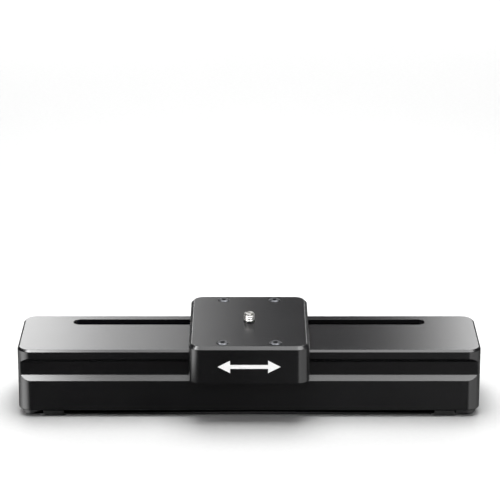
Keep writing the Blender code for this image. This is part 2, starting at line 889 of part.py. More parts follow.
def roller_block(side, name):
    """Block in a cheek's pocket that the carriage screws and the roller axles go into."""
    result = block(
        name + "_roller_block",
        span_low(side, BLOCK_INNER, BLOCK_OUTER, -BLOCK_HALF_LENGTH, BLOCK_LOW),
        span_high(side, BLOCK_INNER, BLOCK_OUTER, BLOCK_HALF_LENGTH, BLOCK_TOP),
        finish="bare_aluminium",
    )
    for sx, end in ((-1, "left"), (1, "right")):
        screw_hole = rod(
            "cut_" + name + "_block_screw_" + end,
            M3_HOLE,
            (SCREW_TIP - MM, BLOCK_TOP + MM),
            (sx * CARRIAGE_SCREW_X, side * CARRIAGE_SCREW_Y, 0),
            steps=12,
        )
        well = turned(
            "cut_" + name + "_roller_well_" + end,
            [
                (0.0, AXLE_TOP + FIT),
                (AXLE_RADIUS + FIT, AXLE_TOP + FIT),
                (AXLE_RADIUS + FIT, WELL_TOP),
                (WELL_RADIUS, WELL_TOP),
                (WELL_RADIUS, BLOCK_LOW - MM),
                (0.0, BLOCK_LOW - MM),
            ],
            (sx * ROLLER_X, side * ROLLER_Y, 0),
            steps=20,
        )
        cut(result, screw_hole, well)


def make_stud():
    """Camera stud with an oblique screwdriver slot, and the disc that keeps it in."""
    stud = turned(
        "camera_stud",
        [
            (0.0, STUD_TOP),
            (STUD_RADIUS - 0.5 * MM, STUD_TOP),
            (STUD_RADIUS, STUD_TOP - 0.5 * MM),
            (STUD_RADIUS, STUD_HEAD_SPAN[1]),
            (STUD_HEAD_RADIUS, STUD_HEAD_SPAN[1]),
            (STUD_HEAD_RADIUS, STUD_HEAD_SPAN[0]),
            (0.0, STUD_HEAD_SPAN[0]),
        ],
        (0, 0, 0),
        steps=20,
        finish="steel",
    )
    slot = block(
        "cut_stud_slot",
        (-5 * MM, -STUD_SLOT_WIDTH / 2, STUD_TOP - STUD_SLOT_DEPTH),
        (5 * MM, STUD_SLOT_WIDTH / 2, STUD_TOP + MM),
    )
    slot.rotation_euler = (0, 0, STUD_SLOT_ANGLE)
    cut(stud, slot)
    retainer = rod(
        "stud_retainer",
        RETAINER_RADIUS,
        RETAINER_SPAN,
        (0, 0, 0),
        finish="dark_steel",
    )
    return [stud, retainer]


def make_rollers():
    """Four rollers with bevelled rims, each on a headed axle under a roller block."""
    recess = 1.3 * MM
    for side, depth in ((-1, "front"), (1, "rear")):
        for sx, end in ((-1, "left"), (1, "right")):
            name = depth + "_" + end + "_roller"
            x = sx * ROLLER_X
            y = side * ROLLER_Y
            empty = joint_empty(name + "_axis", (x, y, ROLLER_Z))
            roller = turned(
                name,
                [
                    (ROLLER_RADIUS - ROLLER_BEVEL, ROLLER_HALF_HEIGHT),
                    (ROLLER_RADIUS, ROLLER_HALF_CROWN),
                    (ROLLER_RADIUS, -ROLLER_HALF_CROWN),
                    (ROLLER_RADIUS - ROLLER_BEVEL, -ROLLER_HALF_HEIGHT),
                    (AXLE_HEAD_RADIUS + FIT, -ROLLER_HALF_HEIGHT),
                    (AXLE_HEAD_RADIUS + FIT, recess - ROLLER_HALF_HEIGHT),
                    (AXLE_RADIUS + RUN, recess - ROLLER_HALF_HEIGHT),
                    (AXLE_RADIUS + RUN, ROLLER_HALF_HEIGHT),
                ],
                (x, y, ROLLER_Z),
                steps=24,
                finish="acetal",
            )
            hang(empty, roller)
            head_top = ROLLER_Z - ROLLER_HALF_HEIGHT + recess - 0.2 * MM
            turned(
                name + "_axle",
                [
                    (0.0, AXLE_TOP),
                    (AXLE_RADIUS, AXLE_TOP),
                    (AXLE_RADIUS, head_top),
                    (AXLE_HEAD_RADIUS, head_top),
                    (AXLE_HEAD_RADIUS, head_top - MM),
                    (0.0, head_top - MM),
                ],
                (x, y, 0),
                steps=12,
                finish="steel",
            )


def make_arm():
    """Arm through the deck slot, the drive nut under it, and the screws through both."""
    arm_half_depth = 3.0 * MM
    arm = block(
        "drive_arm",
        (-NUT_HALF_LENGTH, ARM_Y - arm_half_depth, NUT_TOP + FIT),
        (NUT_HALF_LENGTH, ARM_Y + arm_half_depth, CARRIAGE_UNDERSIDE - FIT),
        2.5 * MM,
        segments=4,
        finish="bare_aluminium",
    )
    nut = block(
        "drive_nut",
        (-NUT_HALF_LENGTH, 7.3 * MM, NUT_LOW),
        (NUT_HALF_LENGTH, 21.0 * MM, NUT_TOP),
        finish="brass",
    )
    bore = rod(
        "cut_nut_bore",
        SCREW_RADIUS + RUN,
        (-NUT_HALF_LENGTH - MM, NUT_HALF_LENGTH + MM),
        (0, SCREW_Y, SCREW_Z),
        ALONG_X,
    )
    cut(nut, bore)
    for side, name in ((-1, "left"), (1, "right")):
        x = side * ARM_SCREW_X
        hole = turned(
            "cut_nut_screw_" + name,
            [
                (0.0, CARRIAGE_UNDERSIDE),
                (M3_HOLE, CARRIAGE_UNDERSIDE),
                (M3_HOLE, ARM_HEAD_TOP + FIT),
                (ARM_HEAD_RADIUS + FIT, ARM_HEAD_TOP + FIT),
                (ARM_HEAD_RADIUS + FIT, NUT_LOW - MM),
                (0.0, NUT_LOW - MM),
            ],
            (x, ARM_SCREW_Y, 0),
            steps=12,
        )
        cut(nut, hole)
        cut(arm, hole)
        screw = turned(
            name + "_arm_screw",
            [
                (0.0, ARM_SCREW_TIP),
                (M3_SHANK, ARM_SCREW_TIP),
                (M3_SHANK, ARM_HEAD_TOP),
                (ARM_HEAD_RADIUS, ARM_HEAD_TOP),
                (ARM_HEAD_RADIUS, NUT_LOW + 0.2 * MM),
                (0.0, NUT_LOW + 0.2 * MM),
            ],
            (x, ARM_SCREW_Y, 0),
            steps=12,
            finish="dark_steel",
        )
        cut(
            screw,
            socket_cutter("cut_arm_socket_" + name, 2.6 * MM, 17.8 * MM, 15 * MM, (x, ARM_SCREW_Y, 0)),
        )


def involute_outline(teeth, backlash, turn):
    """Points round a spur gear, with the first tooth's middle at the angle turn.

    Each flank is an involute of the base circle, cut off at the tip circle. Below
    the base circle it runs straight down to the root circle.
    """
    pitch_radius = GEAR_MODULE * teeth / 2
    base_radius = pitch_radius * math.cos(PRESSURE_ANGLE)
    tip_radius = pitch_radius + GEAR_MODULE
    root_radius = pitch_radius - 1.3 * GEAR_MODULE
    pitch_roll = math.tan(PRESSURE_ANGLE) - PRESSURE_ANGLE
    half_tooth = math.pi / (2 * teeth) - backlash / (2 * pitch_radius)
    tip_roll = math.sqrt((tip_radius / base_radius) ** 2 - 1)
    flank = [(root_radius, half_tooth + pitch_roll)]
    steps = 2
    for i in range(steps + 1):
        roll = tip_roll * i / steps
        radius = base_radius * math.sqrt(1 + roll**2)
        flank.append((radius, half_tooth + pitch_roll - (roll - math.atan(roll))))
    points = []
    for tooth in range(teeth):
        middle = turn + 2 * math.pi * tooth / teeth
        for radius, angle in flank:
            points.append((radius * math.cos(middle - angle), radius * math.sin(middle - angle)))
        for radius, angle in reversed(flank):
            points.append((radius * math.cos(middle + angle), radius * math.sin(middle + angle)))
    return points


def gear(name, teeth, turn, bore, span, location, finish):
    """Spur gear from a flat 2D curve with a round hole, extruded along X."""
    curve = bpy.data.curves.new(name + "_outline", "CURVE")
    curve.dimensions = "2D"
    curve.fill_mode = "BOTH"
    curve.extrude = (span[1] - span[0]) / 2
    hole = [
        (bore * math.cos(2 * math.pi * i / 12), bore * math.sin(2 * math.pi * i / 12))
        for i in range(12)
    ]
    for outline in (involute_outline(teeth, BACKLASH, turn), hole):
        spline = curve.splines.new("POLY")
        spline.points.add(len(outline) - 1)
        for point, (x, y) in zip(spline.points, outline):
            point.co = (x, y, 0.0, 1.0)
        spline.use_cyclic_u = True
    obj = bpy.data.objects.new(name, curve)
    obj.location = ((span[0] + span[1]) / 2, location[0], location[1])
    obj.rotation_euler = ALONG_X
    return place(obj, finish)


def make_leadscrew():
    """Leadscrew, its gear and the collar on its far end, on one axis."""
    axis = (0, SCREW_Y, SCREW_Z)
    empty = joint_empty("screw_axis", axis)
    bevel = 0.5 * MM
    screw = turned(
        "leadscrew",
        [
            (0.0, SCREW_SPAN[1]),
            (SCREW_RADIUS - bevel, SCREW_SPAN[1]),
            (SCREW_RADIUS, SCREW_SPAN[1] - bevel),
            (SCREW_RADIUS, SCREW_SPAN[0] + bevel),
            (SCREW_RADIUS - bevel, SCREW_SPAN[0]),
            (0.0, SCREW_SPAN[0]),
        ],
        axis,
        ALONG_X,
        finish="steel",
    )
    towards_pinion = math.atan2(PINION_Z - SCREW_Z, PINION_Y - SCREW_Y)
    wheel = gear(
        "screw_gear",
        GEAR_TEETH,
        towards_pinion,
        SCREW_RADIUS + FIT,
        GEAR_SPAN,
        (SCREW_Y, SCREW_Z),
        "brass",
    )
    collar = ring(
        "screw_collar",
        BEARING_RADIUS,
        SCREW_RADIUS + FIT,
        COLLAR_SPAN,
        axis,
        ALONG_X,
        finish="dark_steel",
    )
    hang(empty, screw, wheel, collar)


def make_pinion():
    """Motor shaft and pinion, with a tooth gap facing the screw gear's tooth."""
    axis = (0, PINION_Y, PINION_Z)
    empty = joint_empty("pinion_axis", axis)
    shaft = rod("motor_shaft", SHAFT_RADIUS, SHAFT_SPAN, axis, ALONG_X, 16, "steel")
    towards_gear = math.atan2(SCREW_Z - PINION_Z, SCREW_Y - PINION_Y)
    pinion = gear(
        "motor_pinion",
        PINION_TEETH,
        towards_gear + math.pi / PINION_TEETH,
        SHAFT_RADIUS + FIT,
        PINION_SPAN,
        (PINION_Y, PINION_Z),
        "steel",
    )
    hang(empty, shaft, pinion)


def make_button():
    """Power button: a cap with a flange behind the wall, pressed forwards along -Y."""
    empty = joint_empty("power_button_axis", (BUTTON_X, 0, PANEL_Z))
    cap = turned(
        "power_button",
        [
            (0.0, 29.8 * MM),
            (BUTTON_RADIUS - 0.3 * MM, 29.8 * MM),
            (BUTTON_RADIUS, 29.5 * MM),
            (BUTTON_RADIUS, 26.6 * MM),
            (5.2 * MM, 26.6 * MM),
            (5.2 * MM, 25.0 * MM),
            (0.0, 25.0 * MM),
        ],
        (BUTTON_X, 0, PANEL_Z),
        ALONG_Y,
        20,
        "black_plastic",
    )
    hang(empty, cap)


def main():
    """Build the slider in the order that it is put together."""
    clear_scene()
    make_housing()
    make_base_plate()
    make_feet()
    make_base_screws()
    make_tripod_bush()
    make_drive()
    make_electronics()
    make_leadscrew()
    make_pinion()
    make_button()
    make_carriage()
    make_stud()
    make_rollers()
    make_arm()


main()
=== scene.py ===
"""Looks of a motorised camera slider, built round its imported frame."""

import math

import bpy
import numpy as np
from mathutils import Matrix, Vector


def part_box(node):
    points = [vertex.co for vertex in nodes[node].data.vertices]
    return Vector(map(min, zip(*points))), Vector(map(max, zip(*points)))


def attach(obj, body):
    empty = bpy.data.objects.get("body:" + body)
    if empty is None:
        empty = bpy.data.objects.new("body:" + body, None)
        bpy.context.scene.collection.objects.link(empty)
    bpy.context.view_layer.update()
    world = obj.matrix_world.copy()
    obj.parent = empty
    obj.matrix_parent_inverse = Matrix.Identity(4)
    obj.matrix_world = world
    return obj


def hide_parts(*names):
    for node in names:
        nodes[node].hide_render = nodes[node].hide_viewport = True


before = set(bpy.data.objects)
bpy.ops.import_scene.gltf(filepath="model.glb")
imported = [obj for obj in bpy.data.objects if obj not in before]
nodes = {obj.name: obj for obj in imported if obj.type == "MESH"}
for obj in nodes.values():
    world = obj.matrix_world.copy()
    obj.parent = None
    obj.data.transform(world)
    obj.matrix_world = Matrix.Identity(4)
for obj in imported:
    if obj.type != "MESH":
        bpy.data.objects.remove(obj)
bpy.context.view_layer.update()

# ---------------------------------------------------------------- body
# The body is one block of aluminium, machined all over, bead blasted and
# anodised black. Its edges are broken by a small chamfer, and a shallow groove
# with sides at 45 degrees runs out through the corners at the front and rear.

mm = 0.001
body_low, body_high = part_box("housing")
body_half_x = body_high.x
body_half_y = body_high.y
body_corner = 7.5 * mm
body_bottom = 4.0 * mm
bottom_chamfer = 0.4 * mm
deck_top = body_high.z
deck_thickness = 2.5 * mm
deck_chamfer = 1.15 * mm
groove_low = 21.7 * mm
groove_high = 34.9 * mm
groove_depth = 2.8 * mm
slot_half_length = 101.25 * mm
slot_half_width = 4.45 * mm
slot_y = 18.0 * mm


def outline(half_x, half_y, corner, steps=14):
    """Rounded rectangle as a closed ring of points, anticlockwise from above.

    Each corner is a quarter circle: its centre plus the radius times the cosine and
    sine of an angle that grows evenly.
    """
    angle = np.linspace(0.0, math.pi / 2, steps)
    turns = np.arange(4)[:, None] * math.pi / 2 + angle[None, :]
    sign_x = np.array([1, -1, -1, 1])[:, None]
    sign_y = np.array([1, 1, -1, -1])[:, None]
    x = sign_x * (half_x - corner) + corner * np.cos(turns)
    y = sign_y * (half_y - corner) + corner * np.sin(turns)
    return np.stack([x.ravel(), y.ravel()], axis=1)


def surface(name, grid, loop=False):
    """Mesh piece from rings of points, one row a ring, each row joined to the next.

    A loop joins the last ring to the first, as in a turned tube. Otherwise the first
    and the last ring are closed by one face each.
    """
    rows, cols = grid.shape[:2]
    index = np.arange(rows * cols).reshape(rows, cols)
    low = index if loop else index[:-1]
    high = np.roll(index, -1, axis=0) if loop else index[1:]
    quads = np.stack([low, np.roll(low, -1, 1), np.roll(high, -1, 1), high], axis=-1)
    faces = quads.reshape(-1, 4).tolist()
    if not loop:
        faces.append(index[0][::-1].tolist())
        faces.append(index[-1].tolist())
    mesh = bpy.data.meshes.new(name)
    mesh.from_pydata(grid.reshape(-1, 3), [], faces)
    piece = bpy.data.objects.new(name, mesh)
    bpy.context.scene.collection.objects.link(piece)
    return piece


def slab(name, half_x, half_y, corner, levels, centre=(0.0, 0.0), steps=14):
    """Solid with a rounded rectangle for its plan.

    Each level is a height and how far the outline is drawn in there, so a chamfer
    is two levels, and a rounded edge several.
    """
    rings = []
    for height, inset in levels:
        ring = outline(half_x - inset, half_y - inset, max(corner - inset, 1e-5), steps)
        rings.append(np.column_stack([ring + np.array(centre), np.full(len(ring), height)]))
    return surface(name, np.array(rings))


def rounded_edge(height, radius, upwards, steps=4):
    """Levels of a quarter-round edge: height plus radius times sine, inset one less cosine."""
    angle = np.linspace(0.0, math.pi / 2, steps)
    heights = radius * (1.0 - np.sin(angle))
    insets = radius * (1.0 - np.cos(angle))
    if upwards:
        return list(zip(height - heights, insets))
    return list(zip(height + heights, insets))[::-1]


def turned(name, profile, centre=(0.0, 0.0, 0.0), axis="Z", steps=48, loop=False):
    """Turned solid: each profile point is a radius and a place along the axis.

    The points run up the outer side. With loop they go on down the bore, back to
    the start. The ring's point at an angle is the radius times its cosine and sine.
    """
    angle = np.linspace(0.0, 2 * math.pi, steps, endpoint=False)
    radius = np.array([p[0] for p in profile])[:, None]
    along = np.array([p[1] for p in profile])[:, None] + 0.0 * angle[None, :]
    grid = np.stack([radius * np.cos(angle), radius * np.sin(angle), along], axis=-1)
    grid = np.roll(grid, {"Z": 0, "X": 1, "Y": 2}[axis], axis=-1)
    return surface(name, grid + np.array(centre), loop)


def settle(piece):
    """Replace a piece's mesh by its modified one and drop the modifiers."""
    graph = bpy.context.evaluated_depsgraph_get()
    mesh = bpy.data.meshes.new_from_object(piece.evaluated_get(graph))
    piece.modifiers.clear()
    piece.data = mesh


def carve(piece, *tools, join=False):
    """Cut tools out of a piece, or join them to it, and remove the tools."""
    for tool in tools:
        modifier = piece.modifiers.new(tool.name, "BOOLEAN")
        modifier.operation = "UNION" if join else "DIFFERENCE"
        modifier.solver = "EXACT"
        modifier.object = tool
    settle(piece)
    for tool in tools:
        bpy.data.objects.remove(tool)


def break_edges(piece, width, limit=28.0):
    """Round every sharp edge a little, as deburring does, and smooth the shading."""
    piece.data.shade_smooth()
    bevel = piece.modifiers.new("broken_edges", "BEVEL")
    bevel.width = width
    bevel.segments = 2
    bevel.limit_method = "ANGLE"
    bevel.angle_limit = math.radians(limit)
    bevel.use_clamp_overlap = False
    bevel.harden_normals = True
    settle(piece)


def smooth(piece, limit=30.0):
    """Smooth shading, with edges sharper than the limit left sharp."""
    piece.data.shade_smooth()
    piece.data.set_sharp_from_angle(angle=math.radians(limit))


def groove_tool(name, side):
    """Bar with a nose sloped at 45 degrees, longer than the body, that cuts one groove."""
    outside = 1.5 * mm
    deep = body_half_y - groove_depth
    middle = (groove_low + groove_high) / 2
    half_mouth = (groove_high - groove_low) / 2
    half_floor = half_mouth - groove_depth
    section = np.array([
        [deep, -half_floor],
        [body_half_y + outside, -half_mouth - outside],
        [body_half_y + outside, half_mouth + outside],
        [deep, half_floor],
    ])
    reach = body_half_x + 4 * mm
    rings = []
    for x in (-reach, reach):
        rings.append(np.column_stack([np.full(4, x), side * section[:, 0], middle + section[:, 1]]))
    grid = np.array(rings)
    return surface(name, grid if side > 0 else grid[::-1])


body = slab(
    "body_shell",
    body_half_x,
    body_half_y,
    body_corner,
    [
        (body_bottom, bottom_chamfer),
        (body_bottom + bottom_chamfer, 0.0),
        (deck_top - deck_chamfer, 0.0),
        (deck_top, deck_chamfer),
    ],
    steps=20,
)
past = 4 * mm  # how far a cutter reaches past what it cuts
carve(
    body,
    slab("lower_cavity", 120 * mm, 27 * mm, 4 * mm, [(0.0, 0.0), (groove_low - 2 * mm, 0.0)], steps=6),
    slab(
        "upper_cavity", 119 * mm, 24.45 * mm, 3 * mm,
        [(groove_low - past, 0.0), (deck_top - deck_thickness, 0.0)], steps=6,
    ),
    groove_tool("front_groove", -1),
    groove_tool("rear_groove", 1),
    slab(
        "deck_slot", slot_half_length, slot_half_width, slot_half_width * 0.999,
        [(deck_top - past, 0.0), (deck_top + past, 0.0)], (0.0, slot_y), steps=16,
    ),
)
lug_y = 23.0 * mm
for side in (-1, 1):
    lug = slab(
        "lug", 4.5 * mm, 3.75 * mm, 1.0 * mm, [(5.8 * mm, 0.0), (14.5 * mm, 0.0)],
        (0.0, side * (lug_y + 0.25 * mm)), steps=4,
    )
    carve(body, lug, join=True)
bearing_x = 105.5 * mm
screw_y = 12.3 * mm
screw_hole = 1.8 * mm  # radius
base_screw_points = [(sx * 124 * mm, sy * 14 * mm) for sx in (-1, 1) for sy in (-1, 1)]
base_screw_points += [(0.0, -lug_y), (0.0, lug_y), (-bearing_x, screw_y), (bearing_x, screw_y)]
carve(body, *[
    turned("screw_hole", [(screw_hole, -past), (screw_hole, 13.3 * mm)], (x, y, 0.0), steps=16)
    for x, y in base_screw_points[:6]
])
panel_z = 11.6 * mm
panel = {
    "dc_socket": (-90 * mm, 4.3 * mm),
    "link_port": (-77 * mm, 3.2 * mm),
    "power_button": (-64 * mm, 4.3 * mm),
    "status_light": (-55 * mm, 1.4 * mm),
}
carve(body, *[
    turned(name + "_hole", [(radius, 26 * mm), (radius, 31 * mm)], (x, 0.0, panel_z), "Y", 40)
    for name, (x, radius) in panel.items()
])
edge_break = 0.14 * mm
break_edges(body, edge_break)


def linear(code):
    """Linear colour of an sRGB hex value: the sRGB curve undone for each channel."""
    channels = np.array([int(code[i:i + 2], 16) / 255 for i in (1, 3, 5)])
    low = channels / 12.92
    high = ((channels + 0.055) / 1.055) ** 2.4
    return (*np.where(channels <= 0.04045, low, high).tolist(), 1.0)


def add(tree, kind, inputs=(), **settings):
    """Add one shader node. Inputs are socket names with a value or another node's socket."""
    node = tree.nodes.new("ShaderNode" + kind)
    for key, value in settings.items():
        setattr(node, key, value)
    for socket, value in dict(inputs).items():
        if isinstance(value, bpy.types.NodeSocket):
            tree.links.new(value, node.inputs[socket])
        else:
            node.inputs[socket].default_value = value
    return node


def start_material(name, **sockets):
    """New material: its node tree, its shader with these sockets set, and object coordinates."""
    material = bpy.data.materials.new(name)
    material.use_nodes = True
    tree = material.node_tree
    shader = tree.nodes["Principled BSDF"]
    for socket, value in sockets.items():
        shader.inputs[socket.replace("_", " ")].default_value = value
    place = add(tree, "TexCoord").outputs["Object"]
    return material, tree, shader, place


def paint(material, *pieces):
    """Put a material on pieces, in place of any they have."""
    for piece in pieces:
        piece.data.materials.clear()
        piece.data.materials.append(material)


def anodised_aluminium():
    """Black anodised aluminium, bead blasted first.

    The blasting leaves a satin grain that only shows as a soft break-up of the
    reflections, and the dye takes a little unevenly over some centimetres.
    """
    material, tree, shader, place = start_material(
        "black_anodised_aluminium_bead_blasted", Metallic=0.0, Roughness=0.23, IOR=1.5
    )
    grain_size = 0.45 * mm  # real grit is 0.1 mm, too fine to show
    grain = add(tree, "TexNoise", {"Vector": place, "Scale": 1 / grain_size, "Detail": 3.0})
    cloud = add(tree, "TexNoise", {"Vector": place, "Scale": 1 / (38 * mm), "Detail": 4.0, "Roughness": 0.6})
    dye = add(tree, "MapRange", {"Value": cloud.outputs["Fac"], "From Min": 0.3, "From Max": 0.7,
                                 "To Min": 0.0, "To Max": 1.0})
    colour = add(tree, "Mix", {0: dye.outputs["Result"], 6: linear("#0d0d0e"), 7: linear("#131314")},
                 data_type="RGBA")
    tree.links.new(colour.outputs[2], shader.inputs["Base Color"])
    rough = add(tree, "MapRange", {"Value": grain.outputs["Fac"], "From Min": 0.25, "From Max": 0.75,
                                   "To Min": 0.2, "To Max": 0.26})
    tree.links.new(rough.outputs["Result"], shader.inputs["Roughness"])
    bump = add(tree, "Bump", {"Height": grain.outputs["Fac"], "Strength": 0.12, "Distance": 0.02 * mm})
    tree.links.new(bump.outputs["Normal"], shader.inputs["Normal"])
    return material


anodised = anodised_aluminium()
paint(anodised, body)
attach(body, "base")
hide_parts("housing")

# ---------------------------------------------------------------- base plate
# The base plate closes the body from below. It is moulded in black ABS with a
# fine spark-eroded grain, stepped into the opening and held by low-head screws.

plate_low = 0.9 * mm
plate_step = 3.7 * mm
plate_chamfer = 0.5 * mm
plate = slab(
    "bottom_plate", 128 * mm, 27.25 * mm, 5.5 * mm,
    [(plate_low, plate_chamfer), (plate_low + plate_chamfer, 0.0), (plate_step, 0.0)],
)
step = slab(
    "plate_step", 119.7 * mm, 26.7 * mm, 3.7 * mm,
    [(plate_step - 0.5 * mm, 0.0), (5.5 * mm, 0.0)], steps=6,
)
carve(plate, step, join=True)
foot_half_length = 8.25 * mm
foot_half_width = 4.0 * mm
foot_gap = 0.3 * mm
foot_places = {
    depth + "_" + side: (sx * 110.25 * mm, sy * 23.5 * mm)
    for sy, depth in ((-1, "front"), (1, "rear"))
    for sx, side in ((-1, "left"), (1, "right"))
}
carve(plate, *[
    slab(
        "pocket_" + name, foot_half_length + foot_gap, foot_half_width + foot_gap, 4.2 * mm,
        [(-past, 0.0), (plate_step - 0.01 * mm, 0.0)], centre, steps=10,
    )
    for name, centre in foot_places.items()
])
carve(plate, *[
    turned(
        "plate_hole",
        [(3.05 * mm, 0.0), (3.05 * mm, 2.8 * mm), (screw_hole, 2.8 * mm), (screw_hole, 8 * mm)],
        (x, y, 0.0), steps=32,
    )
    for x, y in base_screw_points
])
carve(plate, turned(
    "bush_seat", [(9.3 * mm, 0.0), (9.3 * mm, 2.4 * mm), (7.3 * mm, 2.4 * mm), (7.3 * mm, 8 * mm)]
))
break_edges(plate, 0.12 * mm)


def moulded_plastic(name, code, grain_size, depth):
    """Injection-moulded plastic with a spark-eroded grain, which breaks up its shine."""
    material, tree, shader, place = start_material(name, Roughness=0.5, IOR=1.53)
    shader.inputs["Base Color"].default_value = linear(code)
    grain = add(tree, "TexVoronoi", {"Vector": place, "Scale": 1 / grain_size}, feature="SMOOTH_F1")
    wear = add(tree, "TexNoise", {"Vector": place, "Scale": 1 / (9 * mm), "Detail": 5.0})
    rough = add(tree, "MapRange", {"Value": wear.outputs["Fac"], "From Min": 0.3, "From Max": 0.7,
                                   "To Min": 0.42, "To Max": 0.58})
    tree.links.new(rough.outputs["Result"], shader.inputs["Roughness"])
    bump = add(tree, "Bump", {"Height": grain.outputs["Distance"], "Strength": 0.5, "Distance": depth})
    tree.links.new(bump.outputs["Normal"], shader.inputs["Normal"])
    return material


abs_plate = moulded_plastic("black_abs_spark_eroded", "#0c0c0d", 0.6 * mm, 0.03 * mm)
paint(abs_plate, plate)
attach(plate, "base")
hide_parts("base_plate")

# ---------------------------------------------------------------- feet
# Four oblong feet of moulded rubber are pressed into the base plate's pockets.
# Their rounded ends stand a little proud of the plate at the front and rear.


def moulded_rubber():
    """Matte black rubber: a pebbled skin from the mould and a trace of dust."""
    material, tree, shader, place = start_material("black_rubber_moulded", IOR=1.52)
    pebble = add(tree, "TexVoronoi", {"Vector": place, "Scale": 1 / (0.5 * mm)}, feature="SMOOTH_F1")
    dust = add(tree, "TexNoise", {"Vector": place, "Scale": 1 / (4 * mm), "Detail": 6.0})
    spread = add(tree, "MapRange", {"Value": dust.outputs["Fac"], "From Min": 0.45, "From Max": 0.8})
    colour = add(tree, "Mix", {0: spread.outputs["Result"], 6: linear("#151515"), 7: linear("#2b2a29")},
                 data_type="RGBA")
    tree.links.new(colour.outputs[2], shader.inputs["Base Color"])
    rough = add(tree, "MapRange", {"Value": dust.outputs["Fac"], "To Min": 0.5, "To Max": 0.75})
    tree.links.new(rough.outputs["Result"], shader.inputs["Roughness"])
    bump = add(tree, "Bump", {"Height": pebble.outputs["Distance"], "Strength": 0.4, "Distance": 0.04 * mm})
    tree.links.new(bump.outputs["Normal"], shader.inputs["Normal"])
    return material


rubber = moulded_rubber()
for name, centre in foot_places.items():
    edge = 0.7 * mm
    levels = rounded_edge(0.0, edge, False, 5) + rounded_edge(3.4 * mm, 0.3 * mm, True)
    foot = slab(
        "rubber_foot_" + name, foot_half_length, foot_half_width, 3.9 * mm, levels, centre, steps=12
    )
    smooth(foot)
    paint(rubber, foot)
    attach(foot, "base")
    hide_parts(name + "_foot")

# ---------------------------------------------------------------- base screws
# Eight low-head M3 screws of black oxide steel go up through the base plate.
# Each has a hexagon socket and a small chamfer round its head.


def oxide_steel():
    """Blackened steel: a thin oxide with an oily, slightly mottled sheen."""
    material, tree, shader, place = start_material("black_oxide_steel", Metallic=1.0)
    mottle = add(tree, "TexNoise", {"Vector": place, "Scale": 1 / (1.2 * mm), "Detail": 4.0})
    colour = add(tree, "Mix", {0: mottle.outputs["Fac"], 6: linear("#4c4d50"), 7: linear("#5c5d60")},
                 data_type="RGBA")
    tree.links.new(colour.outputs[2], shader.inputs["Base Color"])
    rough = add(tree, "MapRange", {"Value": mottle.outputs["Fac"], "To Min": 0.28, "To Max": 0.5})
    tree.links.new(rough.outputs["Result"], shader.inputs["Roughness"])
    bump = add(tree, "Bump", {"Height": mottle.outputs["Fac"], "Strength": 0.15, "Distance": 0.02 * mm})
    tree.links.new(bump.outputs["Normal"], shader.inputs["Normal"])
    return material


def socket_tool(across, low, high, x, y):
    """Six-sided bar that cuts a driving socket, measured across its corners."""
    return turned("socket", [(across / 2, low), (across / 2, high)], (x, y, 0.0), steps=6)


oxide = oxide_steel()
for number, (x, y) in enumerate(base_screw_points, 1):
    screw = turned(
        "low_head_screw_%d" % number,
        [(2.45 * mm, 1.1 * mm), (2.75 * mm, 1.35 * mm), (2.75 * mm, 2.5 * mm), (1.5 * mm, 2.5 * mm),
         (1.5 * mm, 12.6 * mm), (1.1 * mm, 13.0 * mm)],
        (x, y, 0.0),
    )
    carve(screw, socket_tool(2.3 * mm, 0.0, 2.0 * mm, x, y))
    smooth(screw)
    paint(oxide, screw)
    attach(screw, "base")
    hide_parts("base_screw_%d" % number)

# ---------------------------------------------------------------- tripod bush
# A flanged steel bush in the middle of the base takes a 3/8 in tripod screw.
# Its bore is threaded, 16 turns to the inch.


def thread(radius, depth, pitch, low, high, chamfer, starts=1, inside=False, cols=48, per_pitch=10):
    """Threaded surface round the upright axis, as rings of points.

    The radius at an angle and height is the outer radius less a triangle wave of
    the height over the pitch less the angle over a full turn. The pitch is from one
    ridge to the next, and each start adds a ridge a turn. The wave dies away over
    the chamfer at both ends.
    """
    rows = int((high - low) / pitch * per_pitch) + 2
    along = np.linspace(low, high, rows)[:, None]
    angle = np.linspace(0.0, 2 * math.pi, cols, endpoint=False)[None, :]
    phase = (along / pitch - starts * angle / (2 * math.pi)) % 1.0
    wave = np.abs(2.0 * phase - 1.0)
    fade = np.clip(np.minimum(along - low, high - along) / chamfer, 0.0, 1.0)
    if inside:
        reach = radius - depth * wave * fade
    else:
        reach = radius - depth * (1.0 - wave * fade)
    return np.stack([reach * np.cos(angle), reach * np.sin(angle), along + 0.0 * angle], axis=-1)


def ring_of(radius, height, cols=48):
    """One level ring of points."""
    angle = np.linspace(0.0, 2 * math.pi, cols, endpoint=False)
    return np.stack([radius * np.cos(angle), radius * np.sin(angle), np.full(cols, height)], axis=-1)


inch = 25.4 * mm
bush_bore = thread(4.76 * mm, 0.45 * mm, inch / 16, 1.2 * mm, 8.2 * mm, 0.8 * mm, inside=True)
bush_rings = [
    ring_of(4.9 * mm, plate_low), ring_of(8.7 * mm, plate_low), ring_of(9.0 * mm, 1.2 * mm),
    ring_of(9.0 * mm, 2.1 * mm), ring_of(7.0 * mm, 2.1 * mm), ring_of(7.0 * mm, 9.2 * mm),
    ring_of(6.7 * mm, 9.5 * mm),
]
bush = surface("threaded_tripod_bush", np.concatenate([bush_bore[::-1], np.array(bush_rings)]))
smooth(bush, 40)


